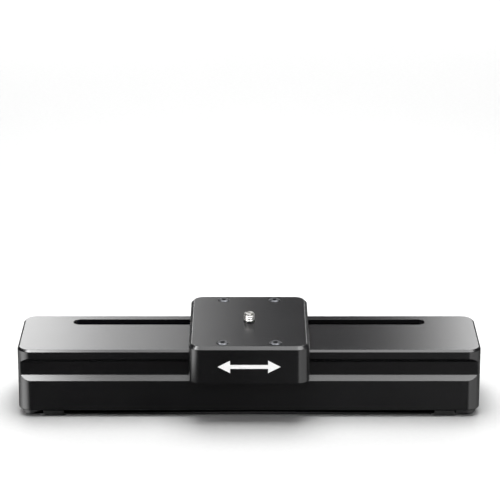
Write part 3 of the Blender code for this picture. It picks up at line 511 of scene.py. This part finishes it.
def turned_steel(name, code, line_gap, axis, roughness=0.16, worn="#f2f1ee"):
    """Bright steel from the lathe or the thread roll: fine rings round its axis, faintly worn."""
    material, tree, shader, place = start_material(name, Metallic=1.0)
    lines = add(tree, "TexWave", {"Vector": place, "Scale": 1 / (line_gap * 20), "Distortion": 0.6,
                                  "Detail": 3.0, "Detail Scale": 2.0},
                bands_direction=axis)
    smear = add(tree, "TexNoise", {"Vector": place, "Scale": 1 / (2.5 * mm), "Detail": 5.0})
    tint = add(tree, "Mix", {0: smear.outputs["Fac"], 6: linear(code), 7: linear(worn)},
               data_type="RGBA")
    tree.links.new(tint.outputs[2], shader.inputs["Base Color"])
    rough = add(tree, "MapRange", {"Value": smear.outputs["Fac"], "From Min": 0.3, "From Max": 0.7,
                                   "To Min": roughness, "To Max": roughness + 0.12})
    tree.links.new(rough.outputs["Result"], shader.inputs["Roughness"])
    bump = add(tree, "Bump", {"Height": lines.outputs["Fac"], "Strength": 0.15, "Distance": 0.02 * mm})
    tree.links.new(bump.outputs["Normal"], shader.inputs["Normal"])
    return material


upright_steel = turned_steel("stainless_steel_turned", "#d9d8d5", 0.25 * mm, "Z")
paint(upright_steel, bush)
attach(bush, "base")
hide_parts("tripod_bush")

# ---------------------------------------------------------------- rear panel
# The DC socket, link port and power button come through the rear wall in a row,
# moulded in black plastic, with a clear light beside them.

fittings = moulded_plastic("black_abs_fine_grain", "#141415", 0.35 * mm, 0.02 * mm)
x = panel["dc_socket"][0]
dc_socket = turned(
    "dc_socket_moulding",
    [(4.4 * mm, 15.5 * mm), (4.4 * mm, 26.7 * mm), (4.0 * mm, 26.7 * mm), (4.0 * mm, 28.95 * mm),
     (3.7 * mm, 29.25 * mm), (3.2 * mm, 29.25 * mm), (2.9 * mm, 28.9 * mm), (2.9 * mm, 20.0 * mm),
     (0.95 * mm, 20.0 * mm), (0.95 * mm, 27.9 * mm), (0.6 * mm, 28.2 * mm)],
    (x, 0.0, panel_z), "Y",
)
x = panel["link_port"][0]
link_port = turned(
    "link_port_moulding",
    [(3.6 * mm, 16.0 * mm), (3.6 * mm, 26.7 * mm), (2.9 * mm, 26.7 * mm), (2.9 * mm, 29.0 * mm),
     (2.65 * mm, 29.25 * mm), (2.0 * mm, 29.25 * mm), (1.75 * mm, 29.0 * mm), (1.75 * mm, 18.0 * mm)],
    (x, 0.0, panel_z), "Y",
)
x = panel["power_button"][0]
button = turned(
    "power_button_cap",
    [(5.2 * mm, 25.0 * mm), (5.2 * mm, 26.6 * mm), (4.0 * mm, 26.6 * mm), (4.0 * mm, 29.4 * mm),
     (3.88 * mm, 29.68 * mm), (3.6 * mm, 29.8 * mm), (3.0 * mm, 29.8 * mm), (2.85 * mm, 29.62 * mm),
     (2.65 * mm, 29.6 * mm), (2.5 * mm, 29.72 * mm), (1.4 * mm, 29.66 * mm), (0.4 * mm, 29.64 * mm)],
    (x, 0.0, panel_z), "Y",
)
for piece, node, body_name in (
    (dc_socket, "dc_socket", "base"),
    (link_port, "link_port", "base"),
    (button, "power_button", "power_button"),
):
    smooth(piece)
    paint(fittings, piece)
    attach(piece, body_name)
    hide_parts(node)


def polished_lens():
    """Clear acrylic light guide with a faintly green, frosted core."""
    material, tree, shader, place = start_material(
        "clear_acrylic_polished", Roughness=0.12, IOR=1.49, Transmission_Weight=0.55
    )
    frost = add(tree, "TexNoise", {"Vector": place, "Scale": 1 / (0.4 * mm), "Detail": 4.0})
    colour = add(tree, "Mix", {0: frost.outputs["Fac"], 6: linear("#cfe3d4"), 7: linear("#f0f6f1")},
                 data_type="RGBA")
    tree.links.new(colour.outputs[2], shader.inputs["Base Color"])
    bump = add(tree, "Bump", {"Height": frost.outputs["Fac"], "Strength": 0.1, "Distance": 0.02 * mm})
    tree.links.new(bump.outputs["Normal"], shader.inputs["Normal"])
    return material


lens = turned(
    "status_light_guide",
    [(1.1 * mm, 25.5 * mm), (1.1 * mm, 29.2 * mm), (0.95 * mm, 29.34 * mm), (0.5 * mm, 29.4 * mm)],
    (panel["status_light"][0], 0.0, panel_z), "Y", 32,
)
smooth(lens)
paint(polished_lens(), lens)
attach(lens, "base")
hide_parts("status_light")

# ---------------------------------------------------------------- carriage
# The carriage is machined from one piece of the same aluminium as the body. A
# cheek hangs over the body's front and another over its rear, and the top has
# four counterbored screws and a hole for the camera stud.

carriage_half_x = 33.65 * mm
mark_thickness = 0.02 * mm
carriage_half_y = 43.5 * mm - mark_thickness
carriage_top = 47.1 * mm
underside = 41.0 * mm
cheek_low = 25.35 * mm
chamfer = 1.7 * mm
carriage = slab(
    "carriage_shell",
    carriage_half_x,
    carriage_half_y,
    7.5 * mm,
    [
        (cheek_low, bottom_chamfer),
        (cheek_low + bottom_chamfer, 0.0),
        (carriage_top - chamfer, 0.0),
        (carriage_top, chamfer),
    ],
    steps=20,
)
carve(carriage, slab("channel", 45 * mm, 30.25 * mm, 0.5 * mm, [(10 * mm, 0.0), (underside, 0.0)], steps=5))
for side in (-1, 1):
    carve(carriage, slab(
        "block_pocket", 30 * mm, 4.65 * mm, 1.0 * mm,
        [(cheek_low - past, 0.0), (38.5 * mm, 0.0)], (0.0, side * 33.65 * mm), steps=5,
    ))
screw_places = {
    depth + "_" + end: (sx * 14.7 * mm, sy * 36.15 * mm)
    for sy, depth in ((-1, "front"), (1, "rear"))
    for sx, end in ((-1, "left"), (1, "right"))
}
carve(carriage, *[
    turned(
        "counterbore",
        [(screw_hole, 37.0 * mm), (screw_hole, 44.3 * mm), (3.5 * mm, 44.3 * mm), (3.5 * mm, 49 * mm)],
        (x, y, 0.0),
    )
    for x, y in screw_places.values()
])
carve(carriage, turned(
    "stud_hole",
    [(8.3 * mm, 40 * mm), (8.3 * mm, 42.4 * mm), (5.8 * mm, 42.4 * mm), (5.8 * mm, 43.9 * mm),
     (3.475 * mm, 43.9 * mm), (3.475 * mm, 49 * mm)],
))
carve(carriage, *[
    turned("arm_screw_hole", [(screw_hole, 40 * mm), (screw_hole, 45 * mm)],
           (side * 15 * mm, 17.6 * mm, 0.0), steps=16)
    for side in (-1, 1)
])
break_edges(carriage, edge_break)
paint(anodised, carriage)
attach(carriage, "carriage")
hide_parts("carriage_body")

# ---------------------------------------------------------------- travel mark
# A plain white double-headed arrow is pad-printed in the middle of the front
# cheek. It shows which way the carriage runs.


def printed_ink():
    """White pad-printing ink: matte, with a trace of the cloth it was wiped with."""
    material, tree, shader, place = start_material("white_ink_pad_printed", Roughness=0.55, IOR=1.5)
    wipe = add(tree, "TexNoise", {"Vector": place, "Scale": 1 / (1.5 * mm), "Detail": 4.0})
    colour = add(tree, "Mix", {0: wipe.outputs["Fac"], 6: linear("#f4f4f2"), 7: linear("#ffffff")},
                 data_type="RGBA")
    tree.links.new(colour.outputs[2], shader.inputs["Base Color"])
    return material


arrow_tip = 17.5 * mm
arrow_neck = 10.5 * mm
head_half = 3.7 * mm
bar_half = 1.15 * mm
arrow_outline = np.array([
    [-arrow_tip, 0.0], [-arrow_neck, -head_half], [-arrow_neck, -bar_half],
    [arrow_neck, -bar_half], [arrow_neck, -head_half], [arrow_tip, 0.0],
    [arrow_neck, head_half], [arrow_neck, bar_half],
    [-arrow_neck, bar_half], [-arrow_neck, head_half],
])
arrow_z = 35.6 * mm
mark_rings = [
    np.column_stack([arrow_outline[:, 0], np.full(10, y), arrow_outline[:, 1] + arrow_z])
    for y in (-carriage_half_y + mark_thickness, -carriage_half_y - mark_thickness)
]
mark = surface("travel_arrow_print", np.array(mark_rings))
paint(printed_ink(), mark)
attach(mark, "carriage")

# ---------------------------------------------------------------- carriage screws
# Four black cap screws hold the roller blocks. Their heads stand half a
# millimetre above the plate, with a chamfered rim and a hexagon socket.

for name, (x, y) in screw_places.items():
    head_top = 47.6 * mm
    screw = turned(
        "cap_screw_" + name,
        [(1.1 * mm, 30.6 * mm), (1.5 * mm, 31.0 * mm), (1.5 * mm, 44.6 * mm), (3.2 * mm, 44.6 * mm),
         (3.2 * mm, head_top - 0.5 * mm), (2.7 * mm, head_top)],
        (x, y, 0.0),
    )
    carve(screw, socket_tool(2.9 * mm, head_top - 1.6 * mm, head_top + 1 * mm, x, y))
    smooth(screw)
    paint(oxide, screw)
    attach(screw, "carriage")
    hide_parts("carriage_screw_" + name)

# ---------------------------------------------------------------- camera stud
# The stud is stainless steel with a 1/4 in thread, 20 turns to the inch, and an
# oblique screwdriver slot across its top. A pressed disc keeps its head in.

stud_top = 52.1 * mm
stud_radius = inch / 8
stud_thread = thread(stud_radius, 0.55 * mm, inch / 20, 47.3 * mm, 51.5 * mm, 0.7 * mm)
stud_head = [ring_of(5.5 * mm, 42.4 * mm), ring_of(5.5 * mm, 43.6 * mm), ring_of(2.975 * mm, 43.6 * mm)]
stud_tip = [ring_of(2.6 * mm, 51.7 * mm), ring_of(2.6 * mm, 51.95 * mm), ring_of(2.45 * mm, stud_top)]
stud = surface(
    "threaded_camera_stud", np.concatenate([np.array(stud_head), stud_thread, np.array(stud_tip)])
)
driver_slot_angle = math.radians(125.0)
driver_slot_depth = 1.3 * mm
driver_slot = np.array([[5.0, 0.55], [-5.0, 0.55], [-5.0, -0.55], [5.0, -0.55]]) * mm
cosine, sine = math.cos(driver_slot_angle), math.sin(driver_slot_angle)
driver_slot = driver_slot @ np.array([[cosine, sine], [-sine, cosine]])
carve(stud, surface("slot_tool", np.array([
    np.column_stack([driver_slot, np.full(4, height)])
    for height in (stud_top - driver_slot_depth, stud_top + 1 * mm)
])))
smooth(stud, 40)
stud_steel = turned_steel("stainless_steel_thread_rolled", "#b5b4b1", 0.25 * mm, "Z", 0.3, "#c9c8c5")
paint(stud_steel, stud)
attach(stud, "carriage")
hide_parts("camera_stud")

retainer = turned("stud_retaining_disc", [
    (7.8 * mm, 41.1 * mm), (8.0 * mm, 41.3 * mm), (8.0 * mm, 41.9 * mm), (7.8 * mm, 42.1 * mm)
])
smooth(retainer)
paint(oxide, retainer)
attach(retainer, "carriage")
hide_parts("stud_retainer")

# ---------------------------------------------------------------- rollers
# Four acetal rollers with bevelled rims run in the grooves on upright steel
# axles. Their blocks are milled from bare aluminium.

roller_z = 28.3 * mm
roller_profile = [
    (2.7 * mm, -5.15 * mm), (2.85 * mm, -5.3 * mm), (3.75 * mm, -5.3 * mm), (5.45 * mm, -3.65 * mm),
    (5.5 * mm, -3.5 * mm), (5.5 * mm, 3.5 * mm), (5.45 * mm, 3.65 * mm), (3.75 * mm, 5.3 * mm),
    (1.75 * mm, 5.3 * mm), (1.6 * mm, 5.15 * mm), (1.6 * mm, -4.0 * mm), (2.7 * mm, -4.0 * mm),
]


def turned_acetal():
    """Natural acetal from the lathe: off-white, waxy and slightly translucent."""
    material, tree, shader, place = start_material(
        "natural_acetal_turned", Roughness=0.4, IOR=1.48, Subsurface_Weight=0.15, Subsurface_Scale=0.002
    )
    cloud = add(tree, "TexNoise", {"Vector": place, "Scale": 1 / (3 * mm), "Detail": 5.0})
    colour = add(tree, "Mix", {0: cloud.outputs["Fac"], 6: linear("#d8d6cd"), 7: linear("#efede6")},
                 data_type="RGBA")
    tree.links.new(colour.outputs[2], shader.inputs["Base Color"])
    lines = add(tree, "TexWave", {"Vector": place, "Scale": 1 / (5 * mm), "Distortion": 0.3},
                bands_direction="Z")
    bump = add(tree, "Bump", {"Height": lines.outputs["Fac"], "Strength": 0.1, "Distance": 0.02 * mm})
    tree.links.new(bump.outputs["Normal"], shader.inputs["Normal"])
    return material


def milled_aluminium():
    """Bare aluminium from the mill: the cutter leaves fine arcs across each face."""
    material, tree, shader, place = start_material("aluminium_milled", Metallic=1.0)
    arcs = add(tree, "TexWave", {"Vector": place, "Scale": 1 / (8 * mm), "Distortion": 1.2, "Detail": 2.0},
               wave_type="RINGS", rings_direction="SPHERICAL")
    cloud = add(tree, "TexNoise", {"Vector": place, "Scale": 1 / (6 * mm), "Detail": 5.0})
    colour = add(tree, "Mix", {0: cloud.outputs["Fac"], 6: linear("#b9babd"), 7: linear("#d6d7d8")},
                 data_type="RGBA")
    tree.links.new(colour.outputs[2], shader.inputs["Base Color"])
    rough = add(tree, "MapRange", {"Value": arcs.outputs["Fac"], "To Min": 0.3, "To Max": 0.45})
    tree.links.new(rough.outputs["Result"], shader.inputs["Roughness"])
    bump = add(tree, "Bump", {"Height": arcs.outputs["Fac"], "Strength": 0.12, "Distance": 0.03 * mm})
    tree.links.new(bump.outputs["Normal"], shader.inputs["Normal"])
    return material


acetal = turned_acetal()
milled = milled_aluminium()
for side, depth in ((-1, "front"), (1, "rear")):
    for sx, end in ((-1, "left"), (1, "right")):
        node = depth + "_" + end + "_roller"
        centre = (sx * 23.5 * mm, side * 32.15 * mm, roller_z)
        roller = turned(node + "_turned", roller_profile, centre, loop=True)
        smooth(roller)
        paint(acetal, roller)
        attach(roller, node)
        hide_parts(node)
        axle = turned(
            node + "_axle_pin",
            [(2.2 * mm, 23.1 * mm), (2.4 * mm, 23.3 * mm), (2.4 * mm, 24.1 * mm), (1.5 * mm, 24.1 * mm),
             (1.5 * mm, 37.2 * mm), (1.3 * mm, 37.4 * mm)],
            (centre[0], centre[1], 0.0), steps=32,
        )
        smooth(axle)
        paint(upright_steel, axle)
        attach(axle, "carriage")
        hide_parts(node + "_axle")
for node in (
    "front_roller_block", "rear_roller_block", "drive_arm", "left_bearing_block", "drive_end_plate"
):
    paint(milled, nodes[node])

# ---------------------------------------------------------------- leadscrew
# The leadscrew is rolled steel with four thread starts and a 6 mm lead, plain
# at both ends where it runs in its bearings. It shows through the deck slot.

screw_axis = (0.0, screw_y, 22.0 * mm)
screw_steel = turned_steel("bright_steel_rolled", "#c9c8c4", 0.2 * mm, "X")
lead = 6 * mm
starts = 4
cols = 32
thread_part = thread(3.0 * mm, 0.45 * mm, lead / starts, -101 * mm, 101 * mm, 1.0 * mm,
                     starts=starts, cols=cols, per_pitch=6)
left_end = [
    ring_of(2.6 * mm, -113.0 * mm, cols), ring_of(3.0 * mm, -112.6 * mm, cols),
    ring_of(3.0 * mm, -101.6 * mm, cols), ring_of(2.55 * mm, -101.2 * mm, cols),
]
right_end = [
    ring_of(2.55 * mm, 101.2 * mm, cols), ring_of(3.0 * mm, 101.6 * mm, cols),
    ring_of(3.0 * mm, 117.8 * mm, cols), ring_of(2.6 * mm, 118.2 * mm, cols),
]
screw_grid = np.concatenate([np.array(left_end), thread_part, np.array(right_end)])
leadscrew = surface("rolled_leadscrew", np.roll(screw_grid, 1, axis=-1) + np.array(screw_axis))
smooth(leadscrew, 40)
paint(screw_steel, leadscrew)
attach(leadscrew, "leadscrew")
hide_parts("leadscrew")


def turned_brass():
    """Brass from the lathe, warm yellow and slightly tarnished in patches."""
    material, tree, shader, place = start_material("brass_turned", Metallic=1.0)
    patch = add(tree, "TexNoise", {"Vector": place, "Scale": 1 / (4 * mm), "Detail": 6.0})
    colour = add(tree, "Mix", {0: patch.outputs["Fac"], 6: linear("#b08d45"), 7: linear("#d9b76a")},
                 data_type="RGBA")
    tree.links.new(colour.outputs[2], shader.inputs["Base Color"])
    rough = add(tree, "MapRange", {"Value": patch.outputs["Fac"], "To Min": 0.2, "To Max": 0.42})
    tree.links.new(rough.outputs["Result"], shader.inputs["Roughness"])
    bump = add(tree, "Bump", {"Height": patch.outputs["Fac"], "Strength": 0.08, "Distance": 0.03 * mm})
    tree.links.new(bump.outputs["Normal"], shader.inputs["Normal"])
    return material


brass = turned_brass()
paint(brass, nodes["drive_nut"], nodes["screw_gear"])
paint(oxide, nodes["left_arm_screw"], nodes["right_arm_screw"])

# ---------------------------------------------------------------- drive
# The leadscrew turns in two ring bearings between rubber bumpers. A gear motor
# lies beside it and drives its brass gear through a steel pinion.

for side, name in ((-1, "left"), (1, "right")):
    bearing = turned(
        name + "_ring_bearing",
        [(4.8 * mm, -2.0 * mm), (5.0 * mm, -1.8 * mm), (5.0 * mm, 1.8 * mm), (4.8 * mm, 2.0 * mm),
         (4.45 * mm, 2.0 * mm), (4.4 * mm, 1.7 * mm), (3.7 * mm, 1.7 * mm), (3.65 * mm, 2.0 * mm),
         (3.1 * mm, 2.0 * mm), (3.1 * mm, -2.0 * mm), (3.65 * mm, -2.0 * mm), (3.7 * mm, -1.7 * mm),
         (4.4 * mm, -1.7 * mm), (4.45 * mm, -2.0 * mm)],
        (side * bearing_x, screw_axis[1], screw_axis[2]), "X", loop=True,
    )
    smooth(bearing)
    paint(screw_steel, bearing)
    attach(bearing, "base")
    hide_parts(name + "_screw_bearing")
    bumper = turned(
        name + "_bumper_ring",
        [(4.5 * mm, -3.0 * mm), (5.0 * mm, -2.5 * mm), (5.0 * mm, 2.5 * mm), (4.5 * mm, 3.0 * mm),
         (3.6 * mm, 3.0 * mm), (3.4 * mm, 2.8 * mm), (3.4 * mm, -2.8 * mm), (3.6 * mm, -3.0 * mm)],
        (side * 99.2 * mm, screw_axis[1], screw_axis[2]), "X", loop=True,
    )
    smooth(bumper)
    paint(rubber, bumper)
    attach(bumper, "base")
    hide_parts(name + "_end_bumper")

gear_centres = 15.0 * mm
motor_drop = 5.1 * mm  # below the leadscrew, so that the motor fits under the deck
motor_axis = (0.0, screw_y - math.sqrt(gear_centres ** 2 - motor_drop ** 2), screw_axis[2] - motor_drop)
gearbox = turned(
    "gearbox_drum",
    [(7.6 * mm, 79.0 * mm), (8.0 * mm, 79.4 * mm), (8.0 * mm, 86.0 * mm), (7.8 * mm, 86.2 * mm),
     (7.8 * mm, 86.6 * mm), (8.0 * mm, 86.8 * mm), (8.0 * mm, 101.8 * mm), (7.6 * mm, 102.2 * mm),
     (1.8 * mm, 102.2 * mm), (1.8 * mm, 79.0 * mm)],
    motor_axis, "X", loop=True,
)
motor = turned(
    "motor_can",
    [(4.7 * mm, 44.0 * mm), (5.0 * mm, 44.3 * mm), (5.0 * mm, 46.0 * mm), (7.3 * mm, 46.0 * mm),
     (7.7 * mm, 46.4 * mm), (7.7 * mm, 77.3 * mm), (7.3 * mm, 77.7 * mm)],
    motor_axis, "X",
)
shaft = turned(
    "motor_output_shaft",
    [(1.3 * mm, 99.0 * mm), (1.5 * mm, 99.2 * mm), (1.5 * mm, 117.4 * mm), (1.3 * mm, 117.6 * mm)],
    motor_axis, "X", 32,
)
collar = turned(
    "shaft_collar",
    [(4.7 * mm, -112.3 * mm), (5.0 * mm, -112.0 * mm), (5.0 * mm, -109.6 * mm), (4.7 * mm, -109.3 * mm),
     (3.3 * mm, -109.3 * mm), (3.3 * mm, -112.3 * mm)],
    screw_axis, "X", loop=True,
)
for piece, node, body_name, material, slot in (
    (gearbox, "gearbox", "base", screw_steel, "bright_steel"),
    (motor, "drive_motor", "base", oxide, "black_oxide_steel"),
    (shaft, "motor_shaft", "pinion", screw_steel, "bright_steel"),
    (collar, "screw_collar", "leadscrew", oxide, "black_oxide_steel"),
):
    smooth(piece)
    paint(material, piece)
    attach(piece, body_name)
    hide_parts(node)
paint(screw_steel, nodes["motor_pinion"])

# ---------------------------------------------------------------- electronics
# A shrink-wrapped battery pack and a green control board lie either side of the
# tripod bush, joined by soft vinyl leads.


def shrunk_film():
    """Blue heat-shrunk film: glossy, with soft wrinkles pulled along the pack."""
    material, tree, shader, place = start_material("blue_film_heat_shrunk", Roughness=0.28, IOR=1.54)
    shader.inputs["Base Color"].default_value = linear("#27509a")
    stretch = add(tree, "Mapping", {"Vector": place, "Scale": (0.2, 1.0, 1.0)})
    folds = add(tree, "TexNoise", {"Vector": stretch.outputs["Vector"], "Scale": 1 / (2.5 * mm),
                                   "Detail": 3.0})
    bump = add(tree, "Bump", {"Height": folds.outputs["Fac"], "Strength": 0.5, "Distance": 0.1 * mm})
    tree.links.new(bump.outputs["Normal"], shader.inputs["Normal"])
    return material


def solder_mask():
    """Glass-epoxy board under green solder mask, with black parts standing on it.

    Copper tracks show through the mask as a lighter net. Above the board's top
    face the same solid is the black epoxy of its components.
    """
    material, tree, shader, place = start_material("glass_epoxy_board_masked", Roughness=0.35, IOR=1.55)
    net = add(tree, "TexBrick", {"Vector": place, "Scale": 1 / (6 * mm), "Mortar Size": 0.05,
                                 "Color1": linear("#0f5a34"), "Color2": linear("#0d4f2e"),
                                 "Mortar": linear("#2f8a55")})
    height = add(tree, "SeparateXYZ", {"Vector": place})
    part = add(tree, "Math", {0: height.outputs["Z"], 1: 7.9 * mm}, operation="GREATER_THAN")
    colour = add(tree, "Mix", {0: part.outputs["Value"], 6: net.outputs["Color"], 7: linear("#17181a")},
                 data_type="RGBA")
    tree.links.new(colour.outputs[2], shader.inputs["Base Color"])
    return material


def vinyl():
    """Soft black vinyl jacket, slightly wavy where it bends."""
    material, tree, shader, place = start_material("black_vinyl_extruded", Roughness=0.42, IOR=1.53)
    shader.inputs["Base Color"].default_value = linear("#1a1a1b")
    wave = add(tree, "TexNoise", {"Vector": place, "Scale": 1 / (1.5 * mm), "Detail": 3.0})
    bump = add(tree, "Bump", {"Height": wave.outputs["Fac"], "Strength": 0.2, "Distance": 0.05 * mm})
    tree.links.new(bump.outputs["Normal"], shader.inputs["Normal"])
    return material


paint(shrunk_film(), nodes["battery_pack"])
paint(solder_mask(), nodes["control_board"])
paint(vinyl(), nodes["battery_lead"], nodes["motor_lead"])

# ---------------------------------------------------------------- studio
# Plain pale floor, softboxes overhead, in front and behind, and cards that glow only
# in reflections: four below the floor's top and one above the groove. The lens is long.


def pale_floor():
    """Matte paper sweep with a barely visible fibre."""
    material, tree, shader, place = start_material("pale_paper_matte", Roughness=0.9)
    fibre = add(tree, "TexNoise", {"Vector": place, "Scale": 1 / (3 * mm), "Detail": 4.0})
    colour = add(tree, "Mix", {0: fibre.outputs["Fac"], 6: linear("#9c9c9c"), 7: linear("#a1a1a1")},
                 data_type="RGBA")
    tree.links.new(colour.outputs[2], shader.inputs["Base Color"])
    return material


floor_half = 6.0
floor = surface("floor", np.array([
    [[-floor_half, -floor_half, z], [floor_half, -floor_half, z], [floor_half, floor_half, z],
     [-floor_half, floor_half, z]] for z in (-0.01, 0.0)
]))
paint(pale_floor(), floor)
floor.visible_glossy = False


def ramp_across(tree, spot, span, stops, peak):
    """Grey ramp along a coordinate: stops are places in metres with a radiance."""
    along = add(tree, "MapRange", {"Value": spot, "From Min": span[0], "From Max": span[1]})
    ramp = add(tree, "ValToRGB", {"Fac": along.outputs["Result"]})
    points = ramp.color_ramp.elements
    while len(points) < len(stops):
        points.new(0.5)
    for point, (where, radiance) in zip(points, stops):
        point.position = (where - span[0]) / (span[1] - span[0])
        point.color = (radiance / peak, radiance / peak, radiance / peak, 1.0)
    return ramp.outputs["Color"]


def softbox(name, place, tilt, size, stops, mirrored=True, matte=True):
    """Rectangular softbox, tilted about the line from left to right.

    Its power is the radiance times its area times pi. The stops give the radiance
    at places from left to right, as a feathered cloth does. It can be mirrored in
    glossy surfaces, light matte ones, or both.
    """
    peak = max(radiance for where, radiance in stops)
    light = bpy.data.lights.new(name, "AREA")
    light.shape = "RECTANGLE"
    light.size, light.size_y = size
    light.energy = peak * size[0] * size[1] * math.pi
    light.use_nodes = True
    tree = light.node_tree
    spot = add(tree, "SeparateXYZ", {"Vector": add(tree, "NewGeometry").outputs["Parametric"]})
    span = (-size[0] / 2, size[0] / 2)
    place_x = add(tree, "MapRange", {"Value": spot.outputs["X"], "To Min": span[0], "To Max": span[1]})
    glow = tree.nodes["Emission"]
    tree.links.new(ramp_across(tree, place_x.outputs["Result"], span, stops, peak), glow.inputs["Color"])
    box = bpy.data.objects.new(name, light)
    box.location = place
    box.rotation_euler = (math.radians(tilt), 0.0, 0.0)
    box.visible_camera = False
    box.visible_glossy = mirrored
    box.visible_diffuse = matte
    bpy.context.scene.collection.objects.link(box)


softbox("rear_softbox", (0.0, 1.4, 0.5), -70.0, (1.6, 0.6), [
    (-0.26, 5.0), (-0.235, 4.3), (-0.169, 1.9), (-0.122, 1.7), (-0.078, 1.15), (-0.03, 0.5), (0.0, 0.12),
    (0.03, 0.0), (0.14, 0.0), (0.171, 0.2), (0.215, 0.75), (0.237, 1.6), (0.28, 4.8),
])
softbox("overhead_mirror", (0.0, 0.05, 1.0), 0.0, (1.6, 1.4), [
    (-0.5, 4.0), (-0.1, 3.2), (0.0, 5.0), (0.15, 4.6), (0.25, 8.5), (0.5, 8.0),
], matte=False)
softbox("top_softbox", (0.0, 0.05, 0.6), 0.0, (0.4, 0.6), [(-0.2, 14.0), (0.2, 14.0)], mirrored=False)
softbox("front_softbox", (0.0, -1.9, 1.2), 0.0, (4.0, 1.2), [(-2.0, 3.5), (2.0, 3.5)], mirrored=False)
softbox("backdrop_softbox", (0.0, 1.5, 1.2), 0.0, (4.0, 1.2), [(-2.0, 5.0), (2.0, 5.0)], mirrored=False)


def glow_card(name, low, high, along, stops):
    """Card that glows only in the slider's reflections, as a thin box between two corners.

    The stops give its radiance at places along one axis.
    """
    corners = [[low[0], low[1]], [high[0], low[1]], [high[0], high[1]], [low[0], high[1]]]
    card = surface(name, np.array([[[x, y, z] for x, y in corners] for z in (low[2], high[2])]))
    material = bpy.data.materials.new(name + "_cloth")
    material.use_nodes = True
    tree = material.node_tree
    tree.nodes.remove(tree.nodes["Principled BSDF"])
    peak = max(radiance for where, radiance in stops)
    spot = add(tree, "SeparateXYZ", {"Vector": add(tree, "TexCoord").outputs["Object"]})
    colour = ramp_across(tree, spot.outputs[along], (stops[0][0], stops[-1][0]), stops, peak)
    glow = add(tree, "Emission", {"Color": colour, "Strength": peak})
    tree.links.new(glow.outputs["Emission"], tree.nodes["Material Output"].inputs["Surface"])
    material.cycles.emission_sampling = "NONE"
    paint(material, card)
    for kind in ("camera", "diffuse", "transmission", "volume_scatter", "shadow"):
        setattr(card, "visible_" + kind, False)


glow_card("left_card", (-0.505, -1.2, -0.45), (-0.495, 0.5, -0.012), "Y", [
    (-1.2, 0.2), (-0.8, 0.8), (-0.5, 2.6), (-0.34, 4.4), (-0.22, 5.0), (-0.12, 4.8), (-0.03, 3.6),
    (0.06, 2.2), (0.14, 1.2), (0.24, 0.6), (0.5, 0.2),
])
glow_card("right_card", (0.495, -1.8, -0.45), (0.505, 0.5, -0.012), "Y", [
    (-1.8, 2.0), (-0.8, 2.2), (-0.5, 1.7), (-0.3, 1.6), (-0.03, 1.2), (0.1, 0.6), (0.24, 0.3), (0.5, 0.1),
])
glow_card("groove_card", (-0.2, -0.18, 0.199), (-0.1, -0.04, 0.201), "X", [
    (-0.2, 26.0), (-0.15, 23.0), (-0.135, 15.0), (-0.12, 7.0), (-0.1, 4.6),
])
glow_card("front_card", (-0.8, -1.31, -0.6), (0.8, -1.3, -0.1), "X", [
    (-0.8, 0.03), (-0.15, 0.05), (0.0, 0.09), (0.15, 0.2), (0.8, 0.4),
])
glow_card("front_flag", (-0.124, -0.35, -0.004), (-0.04, -0.031, -0.002), "X", [
    (-0.124, 0.1), (-0.04, 0.06),
])

world = bpy.data.worlds.new("studio_air")
world.use_nodes = True
air = world.node_tree.nodes["Background"]
air.inputs["Color"].default_value = (1.0, 1.0, 1.0, 1.0)
air.inputs["Strength"].default_value = 0.04
bpy.context.scene.world = world

camera_data = bpy.data.cameras.new("camera")
camera_data.lens = 177.6
camera_data.sensor_width = 36.0
camera = bpy.data.objects.new("camera", camera_data)
camera.location = (0.0005, -1.3216, 0.5202)
camera.rotation_euler = (math.radians(71.95), 0.0, 0.0)
bpy.context.scene.collection.objects.link(camera)
bpy.context.scene.camera = camera
bpy.context.scene.view_settings.view_transform = "Standard"
